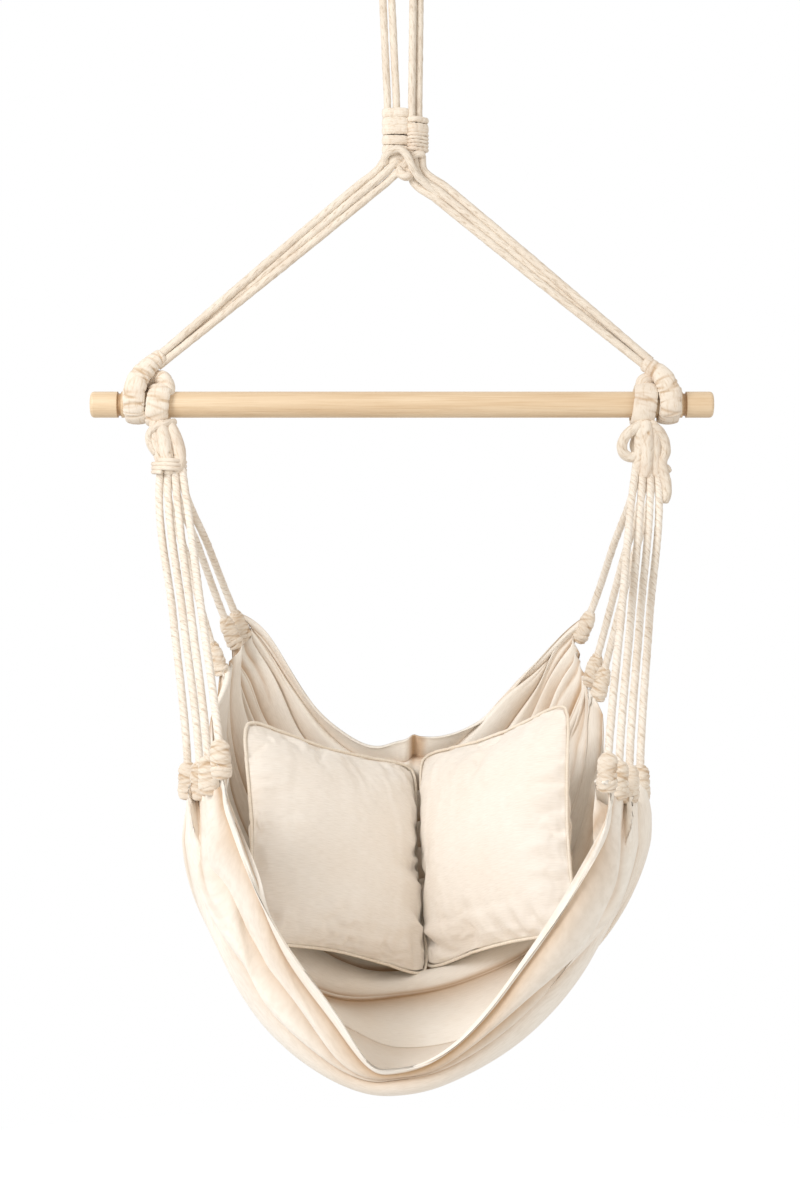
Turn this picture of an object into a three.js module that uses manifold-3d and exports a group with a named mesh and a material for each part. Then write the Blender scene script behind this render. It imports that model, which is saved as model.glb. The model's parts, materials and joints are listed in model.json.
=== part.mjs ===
// A hanging hammock chair: a canvas sling seat with two loose pillows, hung by rope from a round wooden
// spreader bar, which hangs by a rope bridle and two rope loops from a steel ring.
//
// Millimetres. X runs along the bar, to the right seen from the front. Y runs to the back of the seat. Z is up.
// The origin is where a ceiling hook bears on the inside of the ring's top.

import * as THREE from "three";
import { mergeVertices } from "three/addons/utils/BufferGeometryUtils.js";
import Module from "manifold-3d";

const wasm = await Module();
wasm.setup();

// Rope and the gap that is left between pieces that touch.
const rope = 12;
const touch = 0.3;
const lay = rope + 2 * touch; // how far apart two ropes lie that touch
const merge_distance = 0.001;
const section_sides = 8;

// Steel ring: a D with its straight wire below, over which the rope loops hang.
const ring_wire = 12;
const ring_inside_width = 84;
const ring_inside_height = 52;
const ring_corner = 14;
const ring_rope_gap = 0.4;

// Rope loops from the ring to the apex of the bridle.
const hanger_length = 246; // from the ring's straight wire to the top of the apex wraps
const hanger_spread = 52; // between the two loops, on the ring
const hanger_twist_length = 72; // below the wire, over which a loop's legs turn to lie side by side

// Apex: two wraps of rope round the legs of the loops, over a knot that the bridle leaves.
const wrap_left_offset = -14.8;
const wrap_left_cord = 8;
const wrap_left_pitch = 14;
const wrap_left_turns = 5;
const wrap_right_offset = 23;
const wrap_right_cord = 4;
const wrap_right_pitch = 11.4;
const wrap_right_turns = 5;
const wrap_right_skew = 0.6; // radians that the right pair of legs is turned by
const wrap_slack = 0.7; // between one turn and the next
const wrap_drop = 3; // how much lower the right wrap starts
const knot_half_width = 35;
const knot_half_depth = 15;
const knot_half_height = 20;
const knot_gap = 2; // between the wraps and the top of the knot

// Bridle: three ropes a side from the knot to the bar's outer hitches.
const bridle_rise = 385; // from the bar's axis to the middle of the knot
const bridle_root = 10; // from the middle of the knot to where a side's ropes start
const bridle_steps = 9;

// Wooden bar.
const bar_length = 1000;
const bar_diameter = 42;
const bar_end_round = 6;
const bar_off_centre = 1.5;
const groove_width = 6;
const groove_depth = 3;

// Hitches: rolls of bound rope round the bar. The outer one ends the bridle, the inner one carries the seat.
const hitch_inset = 68; // from an end of the bar to the middle of its outer roll
const roll_width = 37;
const roll_thickness = 14;
const roll_gap = 1.5;
const bundle_radius = 13.8; // of three ropes bound together
const tail_reach = 49; // from the outer roll's middle inwards to where the bridle enters the roll's tail
const tail_rise = 76;

// Neck: where an inner hitch gathers its seat cords.
const neck_length = 112; // below the bar's axis
const neck_half_width = 26;
const neck_half_depth = 17.5;
const neck_shift_left = 23;
const neck_shift_right = 1;
const neck_collar = 33; // height of the neck's straight lower end
const band_cord = 6;
const band_pitch = 7.6;
const band_turns = 3;
const loop_cord = 11; // of the rope loops knotted round the necks
const neck_loop_steps = 12;

// The rope loops round the necks, point by point: outwards as a share of the neck's half width, back as a share of
// its half depth, and down as a share of the drop from the bar's axis to the neck's straight lower end.
const neck_loop_left_shares = [
  [-0.5, -1.2, 0.27], [-1.1, -1, 0.41], [-1.5, -0.3, 0.59], [-1.3, 0.1, 0.8], [-0.8, 0.1, 0.9],
];
const neck_loop_right_inner_shares = [
  [-0.1, -0.9, 0.5], [-0.8, -0.7, 0.58], [-1.25, 0, 0.78], [-0.95, 0.2, 0.98], [-0.5, 0.1, 1.05],
];
const neck_loop_right_outer_shares = [
  [0.1, -1, 0.5], [0.9, -0.8, 0.55], [1.4, -0.1, 0.8], [1.15, 0.1, 1.1], [1.2, 0.2, 1.45], [1.5, 0.1, 1.75],
  [1.3, 0, 1.95],
];

// Seat cords: seven a side, four to the front and three to the back.
const cord_spacing = 12.9;
const cord_row_spacing = 16.4;
const cord_root = 14; // how far a cord's line is carried on into the neck before it is trimmed
const front_cord_count = 4;

// Seat: a sheet gathered onto the cords by sleeves.
const seat_off_centre = 14;
const seat_forward = 42.5; // in front of the bar, so that the seat and its pillows balance below it
const seat_width = 714; // between the outermost sleeves
const sleeve_inset = 15; // of the first and the last sleeve from the ends of the seat's depth
const back_drop = 335; // below the bar's axis, of the highest sleeve at the back
const front_drop = 569; // of the lowest sleeves, which are the outermost ones of the front
const sheet_thickness = 4;
const sleeve_length = 46;
const sleeve_half_width = 14;
const sleeve_half_depth = 11.5;
const sleeve_neck = 2.5; // how much slimmer a sleeve is at its ends
const sleeve_bite = 3; // how far the sheet's edge runs up into a sleeve
const edge_sag = 26; // of the sheet's edge between two sleeves
const belly_bulge_left = 22; // how far the sheet bulges out below its sleeves
const belly_bulge_right = 10;
const edge_inset = 5; // of the sheet's edge inwards from the middle of its sleeve
const hem_flap = 15; // how far the hem's corner stands past the last sleeve
const front_shift = -34; // how far the sheet's lowest line moves to the left from the back hem to the front hem
const hem_start_share = 0.7; // along the sheet, where it starts to curl inwards to the front hem
const hem_power_left = 1.2; // 1 makes the front hem hang straight to its lowest point, 2 makes it round
const hem_power_right = 1.75;
const hem_round = 0.16; // how rounded its lowest point is
const pleat_depth = 17;
const pleat_count = 7;
const steps_in_pleat = 5;
const steps_across = 16;

// Sleeves, from the back to the front, as shares of the sizes above.
const depth_shares = [0.5, 0.413, 0.308, -0.154, -0.269, -0.385, -0.5];
const drop_left_shares = [0, 0.042, 0.219, 1, 0.98, 0.923, 0.804];
const drop_right_shares = [0.006, 0.311, 0.399, 1.018, 1, 0.955, 0.886];
const width_left_shares = [0.834, 0.872, 0.921, 0.966, 0.899, 0.85, 0.79];
const width_right_shares = [0.866, 0.889, 0.909, 1, 0.936, 0.876, 0.815];

// The sheet's middle line from the back hem to the front hem.
const seat_depth = 550; // from front to back
const seat_sag = 492; // how far the middle line comes down from its back hem
const back_hem_drop = 557; // below the bar's axis
const middle_depth_shares = [
  0.446, 0.481, 0.496, 0.477, 0.394, 0.24, 0.096, -0.077, -0.202, -0.356, -0.408, -0.446, -0.471, -0.49, -0.504,
];
const middle_drop_shares = [
  0, 0.106, 0.234, 0.4, 0.59, 0.74, 0.815, 0.86, 0.91, 0.953, 0.966, 0.972, 0.967, 0.945, 0.89,
];

// Pillows.
const pillow_size = 362;
const pillow_thickness = 112;
const pillow_draw_in = 15; // how far the sides pull in between the corners
const cover_wall = 2;
const insert_gap = 0.5;
const piping = 5;
const pillow_steps = 10;
const opening_width = 260; // of the slit in a cover's back, through which its insert goes in
const opening_height = 6;
const opening_share = 0.62; // of the half size, how far below the middle the slit lies
const pillow_drop = 700; // below the bar's axis, of a pillow's middle before it settles
const pillow_depth_place = 46; // behind the seat's middle, before it settles
const pillow_left_place = -106; // across, before it settles
const pillow_right_place = 163;
const pillow_left_turn = { yaw: 0.79, recline: 0.38, roll: 0.28 };
const pillow_right_turn = { yaw: -0.88, recline: 0.24, roll: -0.3 };
const pillow_drop_slope = 0.45; // how far back a pillow moves for each unit that it drops

// Places that several pieces share.
const ring_wire_drop = -ring_inside_height - ring_wire / 2;
const wrap_top = ring_wire_drop - hanger_length;
const wrap_left_height = wrap_left_pitch * (wrap_left_turns + 1);
const wrap_right_height = wrap_right_pitch * (wrap_right_turns + 1);
const wrap_bottom = wrap_top - Math.max(wrap_left_height, wrap_drop + wrap_right_height);
const knot_drop = wrap_bottom - knot_gap - knot_half_height;
const bar_drop = knot_drop - bridle_rise;
const roll_radius = bar_diameter / 2 + touch + roll_thickness / 2;
const hitch_offset = bar_length / 2 - hitch_inset;
const inner_hitch_offset = hitch_offset - roll_width - roll_gap;
const sleeve_spread = seat_depth - 2 * sleeve_inset;

const at = (x, y, z) => new THREE.Vector3(x, y, z);
const mix = THREE.MathUtils.lerp;
const smooth = THREE.MathUtils.smoothstep;
const along_x = at(1, 0, 0);
const to_front = at(0, -1, 0);

const materials = {
  steel: new THREE.MeshStandardMaterial({ color: 0xb9bcc0, metalness: 1, roughness: 0.3 }),
  rope: new THREE.MeshStandardMaterial({ color: 0xf3e8d8, metalness: 0, roughness: 0.9 }),
  wood: new THREE.MeshStandardMaterial({ color: 0xe7c99c, metalness: 0, roughness: 0.55 }),
  canvas: new THREE.MeshStandardMaterial({ color: 0xefe0c9, metalness: 0, roughness: 0.95 }),
  pillow: new THREE.MeshStandardMaterial({ color: 0xf1e5d6, metalness: 0, roughness: 0.95 }),
  filling: new THREE.MeshStandardMaterial({ color: 0xffffff, metalness: 0, roughness: 1 }),
};

// Turns a geometry into a solid that can be cut and joined.
function solid_of(geometry) {
  const loose = geometry.index ? geometry.toNonIndexed() : geometry;
  const bare = new THREE.BufferGeometry().setAttribute("position", loose.getAttribute("position"));
  const merged = mergeVertices(bare, merge_distance);
  return new wasm.Manifold(
    new wasm.Mesh({
      numProp: 3,
      vertProperties: merged.attributes.position.array,
      triVerts: new Uint32Array(merged.index.array),
    }),
  );
}

// The largest of the bodies that a cut has left.
function main_body(solid) {
  return solid.decompose().reduce((best, body) => (body.volume() > best.volume() ? body : best));
}

// Turns a solid back into a geometry.
function geometry_of(solid) {
  const mesh = solid.getMesh();
  const places = new Float32Array(mesh.numVert * 3);
  for (let i = 0; i < mesh.numVert; i++) {
    places.set(mesh.vertProperties.subarray(i * mesh.numProp, i * mesh.numProp + 3), i * 3);
  }
  const geometry = new THREE.BufferGeometry();
  geometry.setAttribute("position", new THREE.BufferAttribute(places, 3));
  geometry.setIndex(new THREE.BufferAttribute(new Uint32Array(mesh.triVerts), 1));
  geometry.computeVertexNormals();
  return geometry;
}

// Builds a geometry from points and triangles, turned so that its faces point out.
function faced(points, triangles) {
  const flat = triangles.flat();
  const centre = points[flat[0]];
  let volume = 0;
  for (const [a, b, c] of triangles) {
    const [pa, pb, pc] = [points[a], points[b], points[c]].map((p) => p.clone().sub(centre));
    volume += pa.dot(pb.cross(pc));
  }
  const turned = volume < 0 ? triangles.map(([a, b, c]) => [a, c, b]).flat() : flat;
  const geometry = new THREE.BufferGeometry().setFromPoints(points);
  geometry.setIndex(turned);
  geometry.computeVertexNormals();
  return geometry;
}

// A closed body over a row of rings of points. Its ends are capped, or joined to each other in a loop.
function body_over(rings, looped = false) {
  const sides = rings[0].length;
  const points = rings.flat();
  const triangles = [];
  const spans = looped ? rings.length : rings.length - 1;
  for (let i = 0; i < spans; i++) {
    const next = (i + 1) % rings.length;
    for (let k = 0; k < sides; k++) {
      const [a, b] = [i * sides + k, i * sides + ((k + 1) % sides)];
      const [c, d] = [next * sides + k, next * sides + ((k + 1) % sides)];
      triangles.push([a, b, d], [a, d, c]);
    }
  }
  if (!looped) {
    for (const [start, turn] of [[0, true], [(rings.length - 1) * sides, false]]) {
      for (let k = 1; k < sides - 1; k++) {
        triangles.push(turn ? [start, start + k + 1, start + k] : [start, start + k, start + k + 1]);
      }
    }
  }
  return faced(points, triangles);
}

// A ring of points round an oval with round ends, half_width long along one axis and half_depth along the other.
function oval(centre, width_axis, depth_axis, half_width, half_depth, sides) {
  const round = Math.min(half_width, half_depth);
  return Array.from({ length: sides }, (_, k) => {
    const angle = (2 * Math.PI * (k + 0.5)) / sides;
    const [c, s] = [Math.cos(angle), Math.sin(angle)];
    const across = Math.sign(c) * (half_width - round) + round * c;
    const deep = Math.sign(s) * (half_depth - round) + round * s;
    return centre.clone().addScaledVector(width_axis, across).addScaledVector(depth_axis, deep);
  });
}

// A round rope through a row of points. Its section starts square to the axis given, and is carried along.
function rope_through(points, diameter, first_axis = to_front) {
  let axis = first_axis;
  const rings = points.map((p, i) => {
    const tangent = points[Math.min(i + 1, points.length - 1)].clone().sub(points[Math.max(i - 1, 0)]).normalize();
    axis = axis.clone().addScaledVector(tangent, -axis.dot(tangent)).normalize();
    return oval(p, axis, tangent.clone().cross(axis), diameter / 2, diameter / 2, section_sides);
  });
  return solid_of(body_over(rings));
}

// An oval body along a curve. Its depth axis stays as near as it can to the one given.
function tapered_along(curve, depth_hint, halves, steps, sides = 12) {
  const rings = [];
  for (let i = 0; i <= steps; i++) {
    const t = i / steps;
    const tangent = curve.getTangentAt(t);
    const depth_axis = depth_hint.clone().addScaledVector(tangent, -depth_hint.dot(tangent)).normalize();
    const width_axis = tangent.clone().cross(depth_axis);
    const place = t * (halves.length - 1);
    const low = Math.min(Math.floor(place), halves.length - 2);
    const [half_width, half_depth] = halves[low].map((half, n) => mix(half, halves[low + 1][n], place - low));
    rings.push(oval(curve.getPointAt(t), width_axis, depth_axis, half_width, half_depth, sides));
  }
  return body_over(rings);
}

// The least distance from a point to points of a winding that are about a turn away from it.
function least_gap(rings, steps_in_turn) {
  let least = Infinity;
  for (let i = 0; i + steps_in_turn / 2 < rings.length; i++) {
    const last = Math.min(rings.length - 1, i + (3 * steps_in_turn) / 2);
    for (let j = i + steps_in_turn / 2; j <= last; j++) {
      for (const p of rings[i]) for (const q of rings[j]) least = Math.min(least, p.distanceTo(q));
    }
  }
  return least;
}

// Winds a cord down round an oval in one unbroken tube. The cord's section is as wide as cord and as high as the
// pitch allows. Both ends run straight, on the oval's flat side.
function winding(name, centre, skew, half_straight, inner_radius, cord, pitch, turns) {
  const steps_in_turn = 24; // of each turn of the cord
  const radius = inner_radius + cord / 2;
  const straight = at(Math.cos(skew), Math.sin(skew), 0);
  const sideways = at(-Math.sin(skew), Math.cos(skew), 0);
  const around = 4 * half_straight + 2 * Math.PI * radius;
  const place = (share) => {
    let run = (share - Math.floor(share)) * around;
    if (run < 2 * half_straight) return [-half_straight + run, -radius, 0, -1];
    run -= 2 * half_straight;
    if (run < Math.PI * radius) {
      const a = run / radius - Math.PI / 2;
      return [half_straight + radius * Math.cos(a), radius * Math.sin(a), Math.cos(a), Math.sin(a)];
    }
    run -= Math.PI * radius;
    if (run < 2 * half_straight) return [half_straight - run, radius, 0, 1];
    run -= 2 * half_straight;
    const a = run / radius + Math.PI / 2;
    return [-half_straight + radius * Math.cos(a), radius * Math.sin(a), Math.cos(a), Math.sin(a)];
  };
  const rings = [];
  const half_height = (pitch - wrap_slack) / 2;
  for (let i = 0; i <= turns * steps_in_turn; i++) {
    const [x, y, out_x, out_y] = place(i / steps_in_turn);
    const drop = (i / steps_in_turn) * pitch + pitch / 2;
    const middle = centre.clone().addScaledVector(straight, x).addScaledVector(sideways, y);
    middle.z -= drop;
    const outwards = straight.clone().multiplyScalar(out_x).addScaledVector(sideways, out_y);
    const ring = [];
    for (const [out, up] of [[1, 0.5], [0.5, 1], [-1, 0.7], [-1, -0.7], [0.5, -1], [1, -0.5]]) {
      ring.push(
        middle.clone().addScaledVector(outwards, (out * cord) / 2).add(at(0, 0, up * half_height)),
      );
    }
    rings.push(ring);
  }
  console.log(`${name}: least gap between turns ${least_gap(rings, steps_in_turn).toFixed(2)} mm`);
  return body_over(rings);
}

const chair = new THREE.Group();

// Adds a geometry or a solid to the chair under a name.
function piece(name, shape, material) {
  const mesh = new THREE.Mesh(shape.isBufferGeometry ? shape : geometry_of(shape), material);
  mesh.name = name;
  chair.add(mesh);
  return mesh;
}

// The ring's centre line: straight below, round corners, and half an ellipse above.
function steel_ring() {
  const half_width = (ring_inside_width + ring_wire) / 2;
  const low = ring_wire_drop;
  const high = ring_wire / 2;
  const outline = new THREE.Path();
  outline.moveTo(0, low);
  outline.lineTo(half_width - ring_corner, low);
  outline.absarc(half_width - ring_corner, low + ring_corner, ring_corner, -Math.PI / 2, 0, false);
  outline.absellipse(0, low + ring_corner, half_width, high - low - ring_corner, 0, Math.PI, false);
  outline.absarc(ring_corner - half_width, low + ring_corner, ring_corner, Math.PI, 1.5 * Math.PI, false);
  outline.lineTo(0, low);
  const steps = 24;
  const rings = outline.getSpacedPoints(steps).slice(0, steps).map((p, i, all) => {
    const [before, after] = [all[(i + steps - 1) % steps], all[(i + 1) % steps]];
    const tangent = at(after.x - before.x, 0, after.y - before.y).normalize();
    const outwards = tangent.clone().cross(to_front);
    return oval(at(p.x, 0, p.y), outwards, to_front, ring_wire / 2, ring_wire / 2, section_sides);
  });
  return body_over(rings, true);
}

// The legs of a loop at a height below the ring's wire: how far each stands from the pair's middle.
function leg_offset(drop, final_angle, side) {
  const turned = smooth(drop, ring_wire, hanger_twist_length);
  const angle = mix(Math.PI / 2, final_angle, turned);
  const radius = mix(ring_wire / 2 + ring_rope_gap + rope / 2, lay / 2, turned);
  return at(-side * radius * Math.cos(angle), -side * radius * Math.sin(angle), 0);
}

// One rope loop: up one leg, over the ring's wire and down the other leg, into the knot.
function hanger_loop(ring_place, wrap_place, final_angle) {
  const bottom = knot_drop + knot_gap;
  const leg = (side) => {
    const twisting = [0.15, 0.3, 0.45, 0.6, 0.75, 0.9, 1.1].map((share) => share * hanger_twist_length);
    return [...twisting, hanger_length, ring_wire_drop - bottom].map((drop) => {
      const x = mix(ring_place, wrap_place, Math.min(1, drop / hanger_length));
      return at(x, 0, ring_wire_drop - drop).add(leg_offset(drop, final_angle, side));
    });
  };
  const bend_steps = 8;
  const radius = ring_wire / 2 + ring_rope_gap + rope / 2;
  const bend = Array.from({ length: bend_steps + 1 }, (_, i) => {
    const angle = (Math.PI * i) / bend_steps;
    return at(ring_place, -radius * Math.cos(angle), ring_wire_drop + radius * Math.sin(angle));
  });
  return rope_through([...leg(1).reverse(), ...bend, ...leg(-1)], rope, along_x);
}

function knot(grown = 0) {
  const ball = new THREE.SphereGeometry(1, 18, 12);
  ball.scale(knot_half_width + grown, knot_half_depth + grown, knot_half_height + grown);
  ball.translate(0, 0, knot_drop);
  return solid_of(ball);
}

const grown_knot = knot(touch);

piece("hanging_ring", steel_ring(), materials.steel);
piece("apex_knot", knot(), materials.rope);
piece(
  "apex_wrap_left",
  winding(
    "apex_wrap_left",
    at(wrap_left_offset, 0, wrap_top),
    0,
    lay / 2,
    rope / 2 + 2 * touch,
    wrap_left_cord,
    wrap_left_pitch,
    wrap_left_turns,
  ),
  materials.rope,
);
piece(
  "apex_wrap_right",
  winding(
    "apex_wrap_right",
    at(wrap_right_offset, 0, wrap_top - wrap_drop),
    wrap_right_skew,
    lay / 2,
    rope / 2 + 2 * touch,
    wrap_right_cord,
    wrap_right_pitch,
    wrap_right_turns,
  ),
  materials.rope,
);

// The bar is turned from one profile: rounded ends and a groove beside each outer hitch.
function spreader_bar(grown = 0) {
  const radius = bar_diameter / 2 + grown;
  const half = bar_length / 2;
  const groove = hitch_offset + roll_width / 2 + groove_width / 2 - touch;
  const round_steps = 3;
  const end = Array.from({ length: round_steps + 1 }, (_, i) => {
    const angle = (Math.PI / 2) * (i / round_steps);
    return [radius - bar_end_round * (1 - Math.cos(angle)), half - bar_end_round * (1 - Math.sin(angle))];
  });
  const side = [
    [radius, groove - groove_width / 2],
    [radius - groove_depth, groove - groove_width / 4],
    [radius - groove_depth, groove + groove_width / 4],
    [radius, groove + groove_width / 2],
    ...end,
    [0, half],
  ];
  const other = side.map(([r, x]) => [r, -x]).reverse();
  const profile = [...other, ...side].map(([r, x]) => new THREE.Vector2(r, x));
  const geometry = new THREE.LatheGeometry(profile, 24);
  geometry.rotateZ(-Math.PI / 2);
  geometry.translate(bar_off_centre, 0, bar_drop);
  return geometry;
}

piece("spreader_bar", solid_of(spreader_bar()), materials.wood);
const grown_bar = solid_of(spreader_bar(touch));

// A bound roll of rope that runs once round the bar.
function bar_roll(x) {
  const steps = 16;
  const rings = Array.from({ length: steps }, (_, i) => {
    const angle = (2 * Math.PI * i) / steps;
    const outwards = at(0, Math.cos(angle), Math.sin(angle));
    const middle = at(x, 0, bar_drop).addScaledVector(outwards, roll_radius);
    return oval(middle, along_x, outwards, roll_width / 2, roll_thickness / 2, 8);
  });
  return solid_of(body_over(rings, true));
}

// A side's places. side is -1 on the left and 1 on the right.
function side_of(side) {
  const left = side < 0;
  const outer_x = bar_off_centre + side * hitch_offset;
  const inner_x = bar_off_centre + side * inner_hitch_offset;
  const bridle_end = at(outer_x - side * tail_reach, 0, bar_drop + tail_rise);
  const bridle_start = at(side * bridle_root, 0, knot_drop);
  return {
    side,
    name: left ? "left" : "right",
    outer_x,
    inner_x,
    bridle_end,
    bridle_start,
    bridle_way: bridle_start.clone().sub(bridle_end).normalize(),
    neck_x: inner_x - side * (left ? neck_shift_left : neck_shift_right),
    drop_shares: left ? drop_left_shares : drop_right_shares,
    width_shares: left ? width_left_shares : width_right_shares,
    hem_power: left ? hem_power_left : hem_power_right,
    belly_bulge: left ? belly_bulge_left : belly_bulge_right,
  };
}

const sides = [side_of(-1), side_of(1)];

// The outer hitch: a roll round the bar and a tail that swings up and inwards to take the bridle.
function outer_hitch({ side, outer_x, bridle_end, bridle_way }) {
  const low = at(outer_x, 0, bar_drop);
  const lead = bridle_way.clone().multiplyScalar(-bundle_radius);
  const curve = new THREE.CatmullRomCurve3([
    low.clone().add(at(0, -roll_radius, 0)),
    low.clone().add(at(0, -0.92 * roll_radius, 0.2 * tail_rise)),
    low.clone().add(at(-side * 0.09 * tail_reach, -0.72 * roll_radius, 0.46 * tail_rise)),
    low.clone().add(at(-side * 0.35 * tail_reach, -0.4 * roll_radius, 0.72 * tail_rise)),
    bridle_end.clone().add(lead),
    bridle_end,
  ]);
  const half = roll_width / 2;
  const halves = [
    [half, roll_thickness / 2],
    [half, roll_thickness / 2],
    [mix(half, bundle_radius, 0.4), mix(roll_thickness / 2, bundle_radius, 0.4)],
    [mix(half, bundle_radius, 0.8), mix(roll_thickness / 2, bundle_radius, 0.75)],
    [bundle_radius, bundle_radius],
  ];
  return bar_roll(outer_x).add(solid_of(tapered_along(curve, to_front, halves, 10))).subtract(grown_bar);
}

// One rope of the bridle. Side by side at the knot, the three close up into a triangle at the hitch.
function bridle_rope({ bridle_start, bridle_end, bridle_way }, number, grown = 0) {
  const up = at(-bridle_way.z, 0, bridle_way.x);
  if (up.z < 0) up.negate();
  const at_knot = [[1, 0], [0, 0], [-1, 0]][number];
  const at_hitch = [[0.5, -0.29], [0, 0.58], [-0.5, -0.29]][number];
  const end = bridle_end.clone().addScaledVector(bridle_way, touch);
  const points = [];
  for (let i = 0; i <= bridle_steps; i++) {
    const t = i / bridle_steps;
    const apart = lay / Math.hypot(1 - 0.5 * t, 0.87 * t);
    const middle = bridle_start.clone().lerp(end, t);
    middle.addScaledVector(up, apart * mix(at_knot[0], at_hitch[0], t));
    middle.y += apart * mix(at_knot[1], at_hitch[1], t);
    points.push(middle);
  }
  const beyond = points[bridle_steps].clone().sub(points[bridle_steps - 1]);
  points.push(points[bridle_steps].clone().addScaledVector(beyond, 0.1));
  const strand = rope_through(points, rope + 2 * grown);
  return strand.subtract(grown_knot).subtract(half_space(end, bridle_way.clone().negate()));
}

// A large block that starts at a point and fills everything on the side that a direction points to.
function half_space(point, direction) {
  const size = bar_length;
  const block = new THREE.BoxGeometry(size, size, size);
  block.translate(0, 0, size / 2);
  block.applyQuaternion(new THREE.Quaternion().setFromUnitVectors(at(0, 0, 1), direction));
  block.translate(point.x, point.y, point.z);
  return solid_of(block);
}

// The inner hitch: a roll round the bar whose end comes down into the neck that gathers the seat cords.
function inner_hitch({ inner_x, neck_x }, grown = 0) {
  const low = at(inner_x, 0, bar_drop);
  const shift = neck_x - inner_x;
  const collar = neck_length - neck_collar;
  const bottom = at(neck_x, 0, bar_drop - neck_length - grown);
  const curve = new THREE.CatmullRomCurve3([
    low.clone().add(at(0, -roll_radius, 0)),
    low.clone().add(at(0, -0.9 * roll_radius, -0.2 * collar)),
    low.clone().add(at(0.15 * shift, -0.45 * roll_radius, -0.45 * collar)),
    low.clone().add(at(0.6 * shift, -0.1 * roll_radius, -0.75 * collar)),
    low.clone().add(at(shift, 0, -collar - touch)),
  ]);
  const half = roll_width / 2;
  const halves = [
    [half, roll_thickness / 2],
    [mix(half, bundle_radius, 0.3), mix(roll_thickness / 2, bundle_radius, 0.4)],
    [bundle_radius, bundle_radius],
    [mix(bundle_radius, neck_half_width, 0.6), mix(bundle_radius, neck_half_depth, 0.6)],
    [neck_half_width, neck_half_depth],
  ].map(([a, b]) => [a + grown, b + grown]);
  const neck = solid_of(tapered_along(curve, to_front, halves, 12, 14));
  const collar_rings = [0, 1].map((end) =>
    oval(
      at(neck_x, 0, mix(bottom.z, bar_drop - collar, end)),
      along_x,
      to_front,
      neck_half_width + grown,
      neck_half_depth + grown,
      14,
    ),
  );
  return bar_roll(inner_x).add(neck).add(solid_of(body_over(collar_rings))).subtract(grown_bar);
}

// A loop of rope knotted round a neck, as one bent stretch that stands out to one side.
function neck_loop(place, point_shares) {
  const curve = new THREE.CatmullRomCurve3(
    point_shares.map(([across, deep, low]) =>
      at(
        place.neck_x + across * neck_half_width,
        deep * neck_half_depth,
        bar_drop - low * (neck_length - neck_collar),
      ),
    ),
  );
  const points = curve.getSpacedPoints(neck_loop_steps);
  return main_body(rope_through(points, loop_cord).subtract(inner_hitch(place, touch)));
}

const loops = [
  hanger_loop(-hanger_spread / 2, wrap_left_offset, 0),
  hanger_loop(hanger_spread / 2, wrap_right_offset, wrap_right_skew),
];
sides.forEach((place, i) => {
  const clear = [0, 1, 2].reduce((loop, number) => loop.subtract(bridle_rope(place, number, touch)), loops[i]);
  piece(`hanger_loop_${place.name}`, main_body(clear.subtract(grown_knot)), materials.rope);
});

for (const place of sides) {
  piece(`bar_hitch_outer_${place.name}`, outer_hitch(place), materials.rope);
  for (const number of [0, 1, 2]) {
    piece(`bridle_rope_${place.name}_${number + 1}`, bridle_rope(place, number), materials.rope);
  }
  piece(`bar_hitch_inner_${place.name}`, inner_hitch(place), materials.rope);
}

const [left_side, right_side] = sides;
const neck_round = neck_half_width - neck_half_depth;
piece(
  "neck_band_left",
  winding(
    "neck_band_left",
    at(left_side.neck_x, 0, bar_drop - neck_length + band_pitch * (band_turns + 1)),
    0,
    neck_round,
    neck_half_depth + touch,
    band_cord,
    band_pitch,
    band_turns,
  ),
  materials.rope,
);
piece("neck_loop_left", neck_loop(left_side, neck_loop_left_shares), materials.rope);
piece("neck_loop_right_inner", neck_loop(right_side, neck_loop_right_inner_shares), materials.rope);
piece("neck_loop_right_outer", neck_loop(right_side, neck_loop_right_outer_shares), materials.rope);

// The top of sleeve k and the way that it hangs, inwards at the back and straight down at the front.
function sleeve_of(place, k) {
  const half = (seat_width / 2) * place.width_shares[k];
  const drop = mix(back_drop, front_drop, place.drop_shares[k]);
  const deep = depth_shares[k] * sleeve_spread - seat_forward;
  const top = at(seat_off_centre + place.side * half, deep, bar_drop - drop);
  const lean = 0.42 * (1 - place.drop_shares[k]);
  const way = at(-place.side * Math.sin(lean), 0, -Math.cos(lean)).normalize();
  return { top, way, bottom: top.clone().addScaledVector(way, sleeve_length) };
}

for (const place of sides) place.sleeves = depth_shares.map((_, k) => sleeve_of(place, k));

function sleeve_body({ top, way }, grown = 0) {
  const ends = [-grown, sleeve_length + grown].map((place) => top.clone().addScaledVector(way, place));
  const slim = [sleeve_half_width - sleeve_neck + grown, sleeve_half_depth - sleeve_neck + grown];
  const full = [sleeve_half_width + grown, sleeve_half_depth + grown];
  const curve = new THREE.LineCurve3(...ends);
  return solid_of(tapered_along(curve, to_front, [slim, full, full, slim], 3, 10));
}

// Where seat cord k leaves its neck: four in a front row, of which the first is the outermost, and three in a row
// behind it, of which the last is.
function cord_root_of(place, k) {
  const back_places = depth_shares.length - front_cord_count;
  const in_front = k >= back_places;
  const number = in_front ? k - back_places : k;
  const count = in_front ? front_cord_count : back_places;
  const outwards = (in_front ? -1 : 1) * (number - (count - 1) / 2) * cord_spacing;
  const deep = ((in_front ? -1 : 1) * cord_row_spacing) / 2;
  return at(place.neck_x + place.side * outwards, deep, bar_drop - neck_length - touch);
}

function seat_cord(place, k) {
  const root = cord_root_of(place, k);
  const { top, way } = place.sleeves[k];
  const line = top.clone().sub(root).normalize();
  const inside_sleeve = top.clone().addScaledVector(way, sleeve_length / 5);
  return rope_through([root.clone().addScaledVector(line, -cord_root), inside_sleeve], rope)
    .subtract(half_space(root, at(0, 0, 1)))
    .subtract(sleeve_body(place.sleeves[k], touch));
}

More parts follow.
